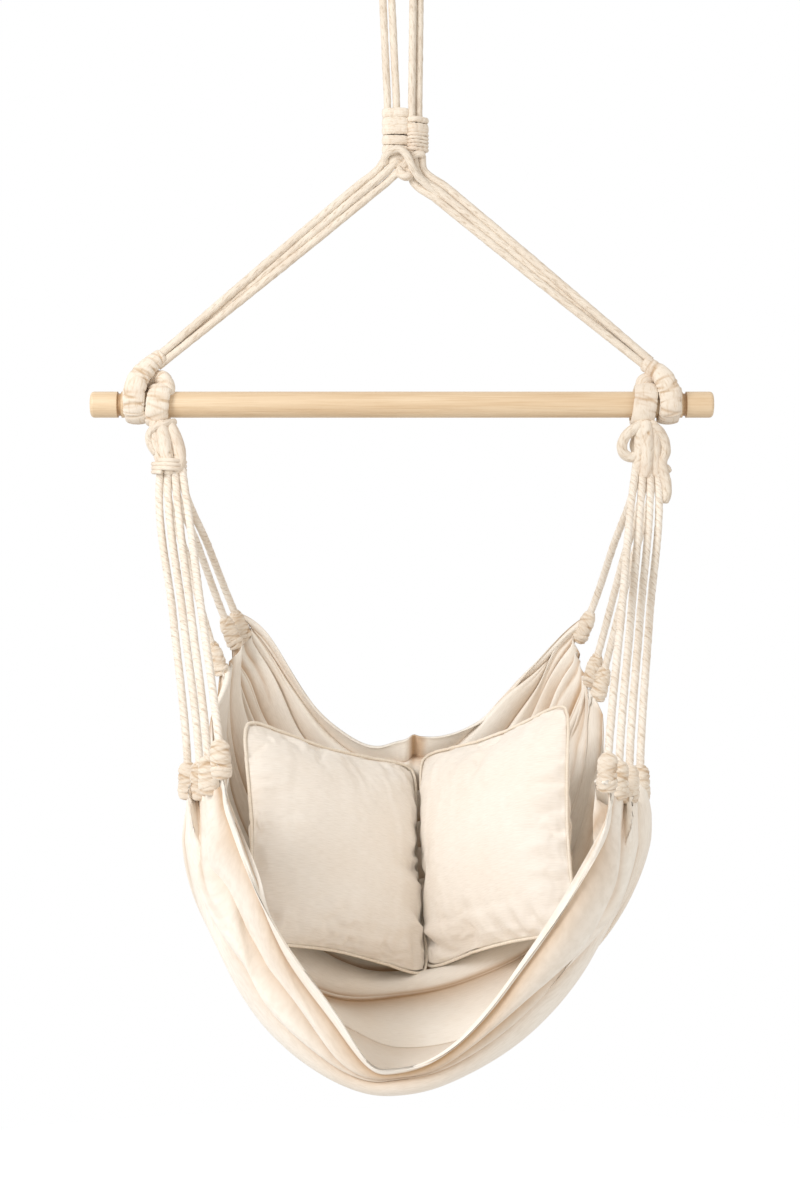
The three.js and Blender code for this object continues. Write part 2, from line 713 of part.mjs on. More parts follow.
// Reads a row of values at a place between 0 and 1, smoothly from one to the next.
function read_row(row, share) {
  const spline = new THREE.SplineCurve(row.map((value, i) => new THREE.Vector2(i, value)));
  return spline.getPoint(share).y;
}

// The sheet's edge on one side, where v runs from the back hem at 0 to the front hem at 1. It hangs from the
// sleeves and sags between them.
function edge_point(place, v) {
  const rows = place.sleeves;
  const number = v * pleat_count - 0.5;
  const low = THREE.MathUtils.clamp(Math.floor(number), 0, pleat_count - 2);
  const share = number - low;
  const inside = THREE.MathUtils.clamp(share, 0, 1);
  const ends = [rows[low], rows[low + 1]].map(({ bottom, way }) =>
    bottom.clone().addScaledVector(way, -sleeve_bite),
  );
  const point = ends[0].lerp(ends[1], inside * inside * (3 - 2 * inside));
  point.x -= place.side * edge_inset;
  point.z -= edge_sag * Math.sin(Math.PI * inside) ** 2;
  const past = Math.max(0, -share, share - 1) * 2;
  point.y += (v < 0.5 ? 1 : -1) * past * hem_flap;
  point.z -= past * past * hem_flap;
  return point;
}

// A place on the sheet before its pleats. s runs across from -1 on the left to 1 on the right.
function sheet_point(s, v) {
  const place = s < 0 ? left_side : right_side;
  const edge = edge_point(place, v);
  const middle = at(
    seat_off_centre + front_shift * v,
    read_row(middle_depth_shares, v) * seat_depth - seat_forward,
    bar_drop - back_hem_drop - read_row(middle_drop_shares, v) * seat_sag,
  );
  const quarter = (Math.PI / 2) * Math.abs(s);
  const back_share = 1 - smooth(v, 0, 0.33);
  const across = mix(Math.sin(quarter), Math.abs(s), back_share);
  const round_rise = 1 - Math.sqrt(1 - Math.min(1, across) ** 2);
  const back_rise = Math.sin((Math.PI / 2) * Math.abs(s) ** 1.4) ** 2;
  const hem_share = smooth(v, hem_start_share, 1);
  const rounded = (share) => Math.hypot(share, hem_round) - hem_round;
  const hem_rise = rounded(across ** place.hem_power) / rounded(1);
  const rise = mix(mix(round_rise, hem_rise, hem_share), back_rise, back_share);
  const bulge = place.belly_bulge * Math.sin(Math.PI * s * s) * (1 - back_share) * (1 - hem_share);
  return at(
    mix(middle.x, edge.x, across) + place.side * bulge,
    mix(middle.y, edge.y, across * across),
    mix(middle.z, edge.z, rise),
  );
}

// The sheet's directions at a place: across it, forward along it, and into the bowl.
function sheet_directions(s, v) {
  const step = 0.01;
  const [s0, s1] = [Math.max(-1, s - step), Math.min(1, s + step)];
  const [v0, v1] = [Math.max(0, v - step), Math.min(1, v + step)];
  const across = sheet_point(s1, v).sub(sheet_point(s0, v)).normalize();
  const forward = sheet_point(s, v1).sub(sheet_point(s, v0)).normalize();
  return { across, forward, normal: forward.clone().cross(across).normalize() };
}

// The sheet as a thin solid with its main pleats, each a round ridge between two creases that runs from a sleeve
// on the left to its fellow on the right.
function seat_sheet(grown = 0) {
  const rows = pleat_count * steps_in_pleat;
  const thick = sheet_thickness / 2 + grown;
  const inner = [];
  const outer = [];
  for (let j = 0; j <= rows; j++) {
    const v = j / rows;
    for (let i = 0; i <= steps_across; i++) {
      const s = -Math.cos((Math.PI * i) / steps_across);
      const ridge = Math.abs(Math.sin(Math.PI * pleat_count * v)) ** 0.7 - 0.6;
      const depth = pleat_depth * mix(0.22, 1, Math.abs(s) ** 3);
      const { across, forward, normal } = sheet_directions(s, v);
      const point = sheet_point(s, v).addScaledVector(normal, ridge * depth);
      if (i === 0 || i === steps_across) point.addScaledVector(across, Math.sign(s) * grown);
      if (j === 0 || j === rows) point.addScaledVector(forward, Math.sign(v - 0.5) * grown);
      inner.push(point.clone().addScaledVector(normal, thick));
      outer.push(point.clone().addScaledVector(normal, -thick));
    }
  }
  const columns = steps_across + 1;
  const points = [...inner, ...outer];
  const below = inner.length;
  const triangles = [];
  for (let j = 0; j < rows; j++) {
    for (let i = 0; i < steps_across; i++) {
      const [a, c] = [j * columns + i, (j + 1) * columns + i];
      const [b, e] = [a + 1, c + 1];
      triangles.push([a, b, e], [a, e, c], [below + a, below + e, below + b], [below + a, below + c, below + e]);
    }
  }
  const rim = [];
  for (let i = 0; i < steps_across; i++) rim.push(i);
  for (let j = 0; j < rows; j++) rim.push(j * columns + steps_across);
  for (let i = steps_across; i > 0; i--) rim.push(rows * columns + i);
  for (let j = rows; j > 0; j--) rim.push(j * columns);
  rim.forEach((a, n) => {
    const b = rim[(n + 1) % rim.length];
    triangles.push([a, below + b, b], [a, below + a, below + b]);
  });
  return faced(points, triangles);
}

const grown_sheet = solid_of(seat_sheet(touch));
for (const place of sides) {
  place.sleeves.forEach((sleeve, k) => {
    piece(`seat_cord_${place.name}_${k + 1}`, seat_cord(place, k), materials.rope);
    piece(`cord_sleeve_${place.name}_${k + 1}`, sleeve_body(sleeve).subtract(grown_sheet), materials.rope);
  });
}
piece("seat_sheet", seat_sheet(), materials.canvas);

// A point of a pillow's outline or face, in the pillow's own frame: its face looks along -Y. across and up run
// from -1 to 1, and face is -1 in front and 1 behind.
function pillow_point(across, up, face, inset) {
  const half = pillow_size / 2 - inset;
  const pull = pillow_draw_in / half;
  const x = half * across * (1 - pull * (1 - up * up));
  const z = half * up * (1 - pull * (1 - across * across));
  const crown = ((1 - across ** 2) * (1 - up ** 2)) ** 0.6;
  const y = face * (pillow_thickness / 2 - inset) * crown;
  return at(x, y, z);
}

// A pillow's body, all over inset inside its outer face.
function pillow_body(inset) {
  const steps = pillow_steps;
  const even = even_places(steps);
  const points = [];
  const places = new Map();
  const point = (i, j, face) => {
    const edge = i === 0 || j === 0 || i === steps || j === steps;
    const key = `${i},${j},${edge ? 0 : face}`;
    if (!places.has(key)) {
      places.set(key, points.push(pillow_point(even[i], even[j], edge ? 0 : face, inset)) - 1);
    }
    return places.get(key);
  };
  const triangles = [];
  for (const face of [-1, 1]) {
    for (let j = 0; j < steps; j++) {
      for (let i = 0; i < steps; i++) {
        const [a, b] = [point(i, j, face), point(i + 1, j, face)];
        const [c, e] = [point(i, j + 1, face), point(i + 1, j + 1, face)];
        triangles.push(...(face < 0 ? [[a, b, e], [a, e, c]] : [[a, e, b], [a, c, e]]));
      }
    }
  }
  return faced(points, triangles);
}

// Places from -1 to 1 that lie closer together towards both ends.
function even_places(steps) {
  return Array.from({ length: steps + 1 }, (_, n) => Math.sin((Math.PI / 2) * ((2 * n) / steps - 1)));
}

// The piping round a pillow's seam: one closed loop that follows the outline just outside the cover.
function pillow_piping() {
  const run = even_places(pillow_steps).slice(0, pillow_steps);
  const outline = [
    ...run.map((t) => pillow_point(t, -1, 0, 0)),
    ...run.map((t) => pillow_point(1, t, 0, 0)),
    ...run.map((t) => pillow_point(-t, 1, 0, 0)),
    ...run.map((t) => pillow_point(-1, -t, 0, 0)),
  ];
  const count = outline.length;
  const rings = outline.map((p, i) => {
    const before = p.clone().sub(outline[(i + count - 1) % count]).normalize();
    const after = outline[(i + 1) % count].clone().sub(p).normalize();
    const outwards = before.clone().add(after).cross(to_front).normalize();
    if (outwards.dot(p) < 0) outwards.negate();
    const offset = (piping / 2 + touch) / Math.sqrt((1 + before.dot(after)) / 2);
    return oval(p.clone().addScaledVector(outwards, offset), outwards, to_front, piping / 2, piping / 2, 6);
  });
  return body_over(rings, true);
}

// The shapes of one pillow: a cover with a slit in its back, the insert inside it, and the piping.
function pillow_shapes() {
  const slit = new THREE.BoxGeometry(opening_width, pillow_thickness, opening_height);
  slit.translate(0, pillow_thickness / 2, (-opening_share * pillow_size) / 2);
  return {
    cover: solid_of(pillow_body(0)).subtract(solid_of(pillow_body(cover_wall))).subtract(solid_of(slit)),
    insert: solid_of(pillow_body(cover_wall + insert_gap)),
    piping: solid_of(pillow_piping()),
  };
}

// Lays a pillow into the seat: it is turned, held over its place and let down until it meets what lies below.
// Returns the settled pillow's outside.
function settle_pillow(name, across, { yaw, recline, roll }, below) {
  const turn = new THREE.Euler(-recline, roll, yaw, "ZXY");
  const start = at(across, pillow_depth_place - seat_forward, bar_drop - pillow_drop);
  const pose = new THREE.Matrix4().makeRotationFromEuler(turn).setPosition(start);
  const shapes = Object.entries(pillow_shapes()).map(([part, shape]) => [part, shape.transform(pose.elements)]);
  const outside = solid_of(pillow_body(-touch)).transform(pose.elements).add(shapes[2][1]);
  const down = at(0, pillow_drop_slope, -1).normalize();
  const let_down = (shape, fall) => shape.translate(down.clone().multiplyScalar(fall).toArray());
  let fall = -pillow_size / 2;
  for (let step = pillow_size / 16; step > touch / 4; step /= 2) {
    while (fall < pillow_size && let_down(outside, fall + step).intersect(below).isEmpty()) fall += step;
  }
  console.log(`${name}: let down by ${fall.toFixed(1)} mm`);
  for (const [part, shape] of shapes) {
    const material = part === "insert" ? materials.filling : materials.pillow;
    piece(`${name}_${part}`, let_down(shape, fall - touch), material);
  }
  return let_down(outside, fall - touch);
}

const settled = settle_pillow("pillow_left", pillow_left_place, pillow_left_turn, grown_sheet);
settle_pillow("pillow_right", pillow_right_place, pillow_right_turn, grown_sheet.add(settled));

export default chair;
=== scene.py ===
"""The looks of a hanging hammock chair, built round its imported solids.

A cotton sling seat with two pillows hangs by fourteen cords from a round wooden bar. The bar hangs by a rope
bridle and two rope loops from a steel ring. Metres; X runs along the bar, Y to the back and Z up, from the
ring's bearing point.
"""

from __future__ import annotations

import json
import logging
import math
from dataclasses import dataclass, field
from enum import Enum

import bpy
import numpy as np
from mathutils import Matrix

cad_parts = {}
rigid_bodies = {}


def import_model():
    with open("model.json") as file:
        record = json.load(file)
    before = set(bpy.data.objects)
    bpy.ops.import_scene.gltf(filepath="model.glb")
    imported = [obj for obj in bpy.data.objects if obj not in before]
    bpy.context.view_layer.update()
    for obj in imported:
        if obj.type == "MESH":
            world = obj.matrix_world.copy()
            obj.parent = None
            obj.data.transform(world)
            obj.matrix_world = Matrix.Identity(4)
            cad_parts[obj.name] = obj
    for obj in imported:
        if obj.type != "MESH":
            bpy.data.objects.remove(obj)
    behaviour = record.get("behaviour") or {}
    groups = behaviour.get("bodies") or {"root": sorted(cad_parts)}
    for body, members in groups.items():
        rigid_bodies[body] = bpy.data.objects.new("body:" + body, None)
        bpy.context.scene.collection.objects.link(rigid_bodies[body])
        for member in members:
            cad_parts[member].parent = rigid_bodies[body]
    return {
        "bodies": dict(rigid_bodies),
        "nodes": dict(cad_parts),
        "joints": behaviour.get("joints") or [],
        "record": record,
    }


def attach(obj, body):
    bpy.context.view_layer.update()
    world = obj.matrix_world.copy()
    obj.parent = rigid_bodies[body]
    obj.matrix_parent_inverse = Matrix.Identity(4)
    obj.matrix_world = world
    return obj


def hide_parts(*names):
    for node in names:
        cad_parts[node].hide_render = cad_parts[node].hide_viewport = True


log = logging.getLogger("hammock_chair")

Array = np.ndarray
Socket = bpy.types.NodeSocket
Triple = tuple[float, float, float]

FRONT = np.array([0.0, -1.0, 0.0])
ALONG_BAR = np.array([1.0, 0.0, 0.0])
UP = np.array([0.0, 0.0, 1.0])

CAMERA_DISTANCE = 3.6
PIXEL = 1.6077e-3
CAMERA_ACROSS = -0.0016
CAMERA_UP = -1.109

BAR_UP = -0.795
BAR_ACROSS = 0.0015
BAR_RADIUS = 0.021
ROPE = 0.012
KNOT_UP = -0.410
NECK_UP = -0.9073

# The scale of a wave texture whose bands are a metre wide
WAVE_SCALE = 0.314
# The dent at which a crease gets the full painted shade
FULL_SHADE_DENT = 0.0022


class Side(Enum):
    """The two sides of the chair, seen from the front."""

    LEFT = -1
    RIGHT = 1

    @property
    def label(self) -> str:
        """The side's name in the names of pieces."""
        return self.name.lower()


def linear(red: float, green: float, blue: float, alpha: float = 1.0) -> tuple[float, float, float, float]:
    """Turns a display colour of 0 to 255 into the linear colour that a shader takes.

    Args:
        red: from 0 to 255.
        green: likewise.
        blue: likewise.
        alpha: from 0 to 1.

    Returns:
        The colour.
    """
    values = [v / 255 for v in (red, green, blue)]
    low = [v / 12.92 if v <= 0.04045 else ((v + 0.055) / 1.055) ** 2.4 for v in values]
    return (low[0], low[1], low[2], alpha)


def seen(points: list[Triple]) -> Array:
    """Places that are given as they are seen.

    Across and down are counted in the 800 by 1200 frame of the camera, and the third number is the depth in
    metres. A place at depth y is (across - 400) and (600 - down) pixels off the middle, times the pixel's
    size at that depth.

    Args:
        points: across, down and depth of each place.

    Returns:
        The places in metres.
    """
    p = np.asarray(points, float)
    size = PIXEL * (CAMERA_DISTANCE + p[:, 2]) / CAMERA_DISTANCE
    return np.stack([CAMERA_ACROSS + (p[:, 0] - 400) * size, p[:, 2], CAMERA_UP - (p[:, 1] - 600) * size], -1)


def on_bar(across: float) -> float:
    """Where along the bar a place across the camera's frame lies, on the bar's front."""
    return float(seen([(across, 404, -0.03)])[0, 0])


def unit(vectors: Array) -> Array:
    """Vectors divided by their length."""
    return vectors / np.maximum(np.linalg.norm(vectors, axis=-1, keepdims=True), 1e-12)


def angles(count: int) -> Array:
    """Even angles all round, from 0."""
    return 2 * np.pi * np.arange(count) / count


def grey(value: float) -> tuple[float, float, float, float]:
    """A grey as a shader takes it."""
    return (value, value, value, 1)


def ease(value: Array | float, low: float, high: float) -> Array:
    """A smooth step: 3t^2 - 2t^3 of the place t of a value between low and high."""
    t = np.clip((np.asarray(value, float) - low) / (high - low), 0, 1)
    return t * t * (3 - 2 * t)


def read_row(row: Array, share: Array) -> Array:
    """Reads rows of values at a place between 0 and 1, by the uniform Catmull-Rom curve through them.

    Args:
        row: values, the first axis running along the row.
        share: places from 0 to 1, any shape.

    Returns:
        Values of the shape of share followed by the other axes of row.
    """
    row = np.asarray(row, float)
    count = len(row)
    place = (count - 1) * np.clip(share, 0, 1)
    low = np.minimum(np.floor(place).astype(int), count - 1)
    w = (place - low).reshape(place.shape + (1,) * (row.ndim - 1))
    p0, p1 = row[np.maximum(low - 1, 0)], row[low]
    p2, p3 = row[np.minimum(low + 1, count - 1)], row[np.minimum(low + 2, count - 1)]
    v0, v1 = (p2 - p0) / 2, (p3 - p1) / 2
    return (2 * p1 - 2 * p2 + v0 + v1) * w**3 + (-3 * p1 + 3 * p2 - 2 * v0 - v1) * w**2 + v0 * w + p1


def through(points: Array | list, spacing: float, closed: bool = False) -> Array:
    """Evenly spaced places on a smooth curve through points.

    The curve is a cubic Hermite one over the chord lengths, whose slopes are the central differences of the
    points.

    Args:
        points: the points that it goes through.
        spacing: distance between the places.
        closed: whether the curve runs back to its first point.

    Returns:
        The places. A closed curve's last place isn't its first.
    """
    p = np.asarray(points, float)
    if closed:
        p = np.concatenate([p[-3:], p, p[:3]])
    chord = np.append(0.0, np.cumsum(np.linalg.norm(np.diff(p, axis=0), axis=1)))
    slope = np.gradient(p, chord, axis=0)
    start, end = (chord[3], chord[-3]) if closed else (0.0, chord[-1])
    t = np.linspace(start, end, max(8, int((end - start) / spacing * 3)) + 1)
    k = np.clip(np.searchsorted(chord, t, side="right") - 1, 0, len(p) - 2)
    h = (chord[k + 1] - chord[k])[:, None]
    w = (t - chord[k])[:, None] / h
    q = (2 * w**3 - 3 * w**2 + 1) * p[k] + (w**3 - 2 * w**2 + w) * h * slope[k]
    q += (3 * w**2 - 2 * w**3) * p[k + 1] + (w**3 - w**2) * h * slope[k + 1]
    run = np.append(0.0, np.cumsum(np.linalg.norm(np.diff(q, axis=0), axis=1)))
    count = max(4, int(round(run[-1] / spacing)))
    even = np.linspace(0, run[-1], count + 1)
    if closed:
        even = even[:-1]
    return np.stack([np.interp(even, run, q[:, a]) for a in range(3)], -1)


def run_of(path: Array) -> Array:
    """How far along a path each of its places is."""
    return np.append(0.0, np.cumsum(np.linalg.norm(np.diff(path, axis=0), axis=1)))


def creases(
    run: Array,
    turn: Array,
    seed: int,
    count: int,
    depth: float,
    width: float,
    reach: float = 0.9,
    tilt: float = 0.004,
) -> Array:
    """Short creases across a tube, which is how bound cloth and rope gather.

    Each crease is depth * exp(-(d / width)^2) * exp(-(a / reach)^2), where a is the angle from its middle and
    d the distance along the tube from its line, which slants by tilt times a. Their depths add up.

    Args:
        run: distance along the tube of each ring.
        turn: angle round the tube of each column.
        seed: of the random places.
        count: number of creases.
        depth: of a crease, in metres.
        width: of a crease along the tube.
        reach: how far round it goes, in radians.
        tilt: how much it slants, in metres a radian.

    Returns:
        The depth at each ring and column.
    """
    rng = np.random.default_rng(seed)
    place = rng.uniform(run[0], run[-1], count)[:, None, None]
    middle = rng.uniform(0, 2 * np.pi, count)[:, None, None]
    slant = rng.normal(0, tilt, count)[:, None, None]
    wide = width * rng.uniform(0.6, 1.5, count)[:, None, None]
    far = reach * rng.uniform(0.5, 1.4, count)[:, None, None]
    deep = depth * rng.uniform(0.4, 1.0, count)[:, None, None]
    angle = (turn[None, None, :] - middle + np.pi) % (2 * np.pi) - np.pi
    off = run[None, :, None] - place - slant * angle
    total = (deep * np.exp(-((off / wide) ** 2)) * np.exp(-((angle / far) ** 2))).sum(0)
    return np.minimum(total, 2.2 * depth)


@dataclass
class Skin:
    """Points, faces and the place of each face's corners on a pattern, in metres across and along.

    The last field is each point's painted shade, from 0 to 1, by how deep in a crease or groove it lies.
    """

    points: Array
    faces: list[Array]
    places: list[Array]
    hollow: Array | None = None

    def hollows(self) -> Array:
        """The painted shade of every point, none where it isn't given."""
        return np.zeros(len(self.points)) if self.hollow is None else self.hollow

    @staticmethod
    def joined(skins: list[Skin]) -> Skin:
        """One skin of several.

        Args:
            skins: the skins.

        Returns:
            One skin, with the points and faces of each in turn.
        """
        starts = np.cumsum([0] + [len(s.points) for s in skins])
        return Skin(
            np.concatenate([s.points for s in skins]),
            [f + start for s, start in zip(skins, starts) for f in s.faces],
            [p for s in skins for p in s.places],
            np.concatenate([s.hollows() for s in skins]),
        )


def tube(
    path: Array,
    hint: Array,
    half_wide: Array | float,
    half_deep: Array | float,
    sides: int = 16,
    closed: bool = False,
    dent: Array | None = None,
    hollow: Array | None = None,
) -> Skin:
    """A section carried along a path.

    A point is centre + across * wide * cos(a) + deep * depth * sin(a), less the dent towards the centre. The
    depth direction is the hint, made square to the path.

    Args:
        path: the centre line.
        hint: the depth direction, or one for each place.
        half_wide: half the width, or one for each place or for each point.
        half_deep: half the depth, likewise.
        sides: points round the section.
        closed: whether the tube runs back into its start.
        dent: how far each point is moved inwards.
        hollow: the painted shade of each point, by how deep in a groove it lies. The dent gives it otherwise.

    Returns:
        The tube, capped if it isn't closed.
    """
    count = len(path)
    tangent = unit(np.roll(path, -1, 0) - np.roll(path, 1, 0)) if closed else unit(np.gradient(path, axis=0))
    hint = np.broadcast_to(hint, path.shape)
    deep = unit(hint - (hint * tangent).sum(-1, keepdims=True) * tangent)
    wide = np.cross(tangent, deep)
    shape = (count, sides)
    angle = np.broadcast_to(angles(sides), shape)
    wide_by = np.broadcast_to(np.reshape(half_wide, (-1, 1)) if np.ndim(half_wide) == 1 else half_wide, shape)
    deep_by = np.broadcast_to(np.reshape(half_deep, (-1, 1)) if np.ndim(half_deep) == 1 else half_deep, shape)
    if dent is not None:
        wide_by = wide_by * (1 - dent / np.maximum(wide_by, 1e-6))
        deep_by = deep_by - dent
        # Painted shade: a dent as deep as the full-shade dent gets the whole brown tint.
        hollow = np.clip(dent / FULL_SHADE_DENT, 0, 1)
    hollow = np.zeros(count * sides) if hollow is None else hollow.ravel()
    ring = (
        path[:, None]
        + wide[:, None] * (wide_by * np.cos(angle))[..., None]
        + deep[:, None] * (deep_by * np.sin(angle))[..., None]
    )
    spans = count if closed else count - 1
    i, k = np.meshgrid(np.arange(spans), np.arange(sides), indexing="ij")
    after, beside = (i + 1) % count, (k + 1) % sides
    quads = np.stack(
        [i * sides + k, after * sides + k, after * sides + beside, i * sides + beside], -1
    ).reshape(-1, 4)
    run = run_of(path)
    run = np.append(run, run[-1] + np.linalg.norm(path[0] - path[-1]))
    girth = 2 * np.pi * float(np.mean([wide_by.mean(), deep_by.mean()]))
    across = np.arange(sides + 1) / sides * girth
    corner = [(i, k), (i + 1, k), (i + 1, k + 1), (i, k + 1)]
    places = np.stack([np.stack([across[b], run[a]], -1) for a, b in corner], -2).reshape(-1, 4, 2)
    points = ring.reshape(-1, 3)
    faces, marks = [quads], [places]
    if not closed:
        points = np.concatenate([points, [ring[0].mean(0), ring[-1].mean(0)]])
        hollow = np.append(hollow, [0.0, 0.0])
        a, b = np.arange(sides), (np.arange(sides) + 1) % sides
        for middle, start, flip in (
            (count * sides, 0, False), (count * sides + 1, (count - 1) * sides, True)
        ):
            first, second = (b, a) if flip else (a, b)
            fan = np.stack([np.full(sides, middle), start + first, start + second], -1)
            faces.append(fan)
            marks.append(
                np.stack([across[:-1], np.full(sides, run[0 if not flip else -2])], -1)[:, None].repeat(3, 1)
            )
    return Skin(points, faces, marks, hollow)


def rounded_ends(run: Array, start: float, end: float) -> Array:
    """The share of a tube's full section near its ends, rounded like a ball's over the lengths given.

    Args:
        run: distance along the tube of each ring.
        start: length of the first rounding, or 0 for none.
        end: length of the last, likewise.

    Returns:
        The share at each ring.
    """
    left = np.clip(run / max(start, 1e-6), 0, 1) if start else np.ones_like(run)
    right = np.clip((run[-1] - run) / max(end, 1e-6), 0, 1) if end else np.ones_like(run)
    return np.sqrt(np.maximum(0.02, 1 - (1 - left) ** 2)) * np.sqrt(np.maximum(0.02, 1 - (1 - right) ** 2))


def laid_rope(
    points: Array | list,
    diameter: float,
    hint: Array,
    depth: float = 0.05,
    pitch: float = 0.034,
    sides: int = 16,
    spacing: float = 0.0026,
    ends: tuple[float, float] = (0.0, 0.0),
    sheath_seed: int = 0,
) -> Skin:
    """A rope laid from three soft strands.

    Its radius is R * (1 - depth * (1 - |cos(1.5 * b)|)), where b is the angle less the turns of the lay so
    far, so that three shallow grooves wind along it.

    Args:
        points: what its middle goes through.
        diameter: of the rope.
        hint: any direction that it doesn't run along.
        depth: of the grooves, as a share of the radius.
        pitch: length of one turn of the lay.
        sides: points round it.
        spacing: between rings.
        ends: lengths over which its two ends are rounded off.
        sheath_seed: of its small unevenness.

    Returns:
        The rope.
    """
    path = through(points, spacing)
    run = run_of(path)
    turn = angles(sides)
    lay = turn[None, :] - 2 * np.pi * run[:, None] / pitch
    rng = np.random.default_rng(sheath_seed)
    waves = sum(
        0.012 * np.sin(
            run[:, None] * rng.uniform(60, 420) + turn[None, :] * rng.integers(0, 3) + rng.uniform(0, 6.3)
        )
        for _ in range(5)
    )
    share = (1 - depth * (1 - np.abs(np.cos(1.5 * lay))) + waves) * rounded_ends(run, *ends)[:, None]
    radius = diameter / 2 * share
    # The grooves between the strands get painted shade, darkest at their bottoms.
    return tube(
        path, hint, radius, radius, sides, hollow=(1 - np.abs(np.cos(1.5 * lay))) ** 2 * min(1, depth * 9)
    )


def bound_tube(
    points: Array | list,
    hint: Array,
    half_wide: list[float],
    half_deep: list[float],
    seed: int,
    crease_count: int = 70,
    crease_depth: float = 0.0012,
    crease_width: float = 0.0016,
    sides: int = 36,
    spacing: float = 0.0013,
    ends: tuple[float, float] = (0.006, 0.006),
    closed: bool = False,
    reach: float = 0.9,
    tilt: float = 0.004,
) -> Skin:
    """A tube of tightly bound or gathered cotton, with short creases across it.

    Args:
        points: what its middle goes through.
        hint: direction of its depth.
        half_wide: half widths, spread evenly along it.
        half_deep: half depths, likewise.
        seed: of its creases.
        crease_count: number of creases.
        crease_depth: their depth.
        crease_width: their width along the tube.
        sides: points round it.
        spacing: between rings.
        ends: lengths over which its two ends are rounded off.
        closed: whether it runs back into itself.
        reach: how far round a crease goes, in radians.
        tilt: how much a crease slants.

    Returns:
        The tube.
    """
    path = through(points, spacing, closed)
    run = run_of(path)
    share = run / run[-1]
    turn = angles(sides)
    round_off = np.ones_like(run) if closed else rounded_ends(run, *ends)
    wide = read_row(np.array(half_wide), share) * round_off
    deep = read_row(np.array(half_deep), share) * round_off
    # The creases are dents, which tube also turns into painted shade.
    dent = creases(
        run, turn, seed, crease_count, crease_depth, crease_width, reach, tilt
    ) * round_off[:, None]
    return tube(path, hint, wide, deep, sides, closed, dent)


def make_piece(
    name: str, skin: Skin, material: bpy.types.Material, body: str, slot: str, *nodes: str
) -> bpy.types.Object:
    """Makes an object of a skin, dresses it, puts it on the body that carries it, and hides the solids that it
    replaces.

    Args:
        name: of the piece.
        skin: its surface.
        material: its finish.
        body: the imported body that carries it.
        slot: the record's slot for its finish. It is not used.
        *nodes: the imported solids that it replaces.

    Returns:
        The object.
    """
    mesh = bpy.data.meshes.new(name)
    corners = np.concatenate([f.reshape(-1) for f in skin.faces]).astype(np.int32)
    totals = np.concatenate([np.full(len(f), f.shape[1]) for f in skin.faces])
    starts = np.append(0, np.cumsum(totals)[:-1]).astype(np.int32)
    mesh.vertices.add(len(skin.points))
    mesh.vertices.foreach_set("co", skin.points.astype(np.float32).ravel())
    mesh.loops.add(len(corners))
    mesh.loops.foreach_set("vertex_index", corners)
    mesh.polygons.add(len(starts))
    mesh.polygons.foreach_set("loop_start", starts)
    mesh.update(calc_edges=True)
    layer = mesh.uv_layers.new(name="pattern")
    layer.data.foreach_set("uv", np.concatenate([p.reshape(-1) for p in skin.places]).astype(np.float32))
    # Painted shade of creases and grooves, stored on the points for the materials' brown tint.
    hollow = mesh.attributes.new("hollow", "FLOAT", "POINT")
    hollow.data.foreach_set("value", skin.hollows().astype(np.float32))
    mesh.polygons.foreach_set("use_smooth", np.ones(len(starts), bool))
    mesh.validate()
    mesh.materials.append(material)
    piece = bpy.data.objects.new(name, mesh)
    bpy.context.scene.collection.objects.link(piece)
    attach(piece, body)
    if nodes:
        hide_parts(*nodes)
    log.info("%s: %d faces on %s", name, len(starts), body)
    return piece


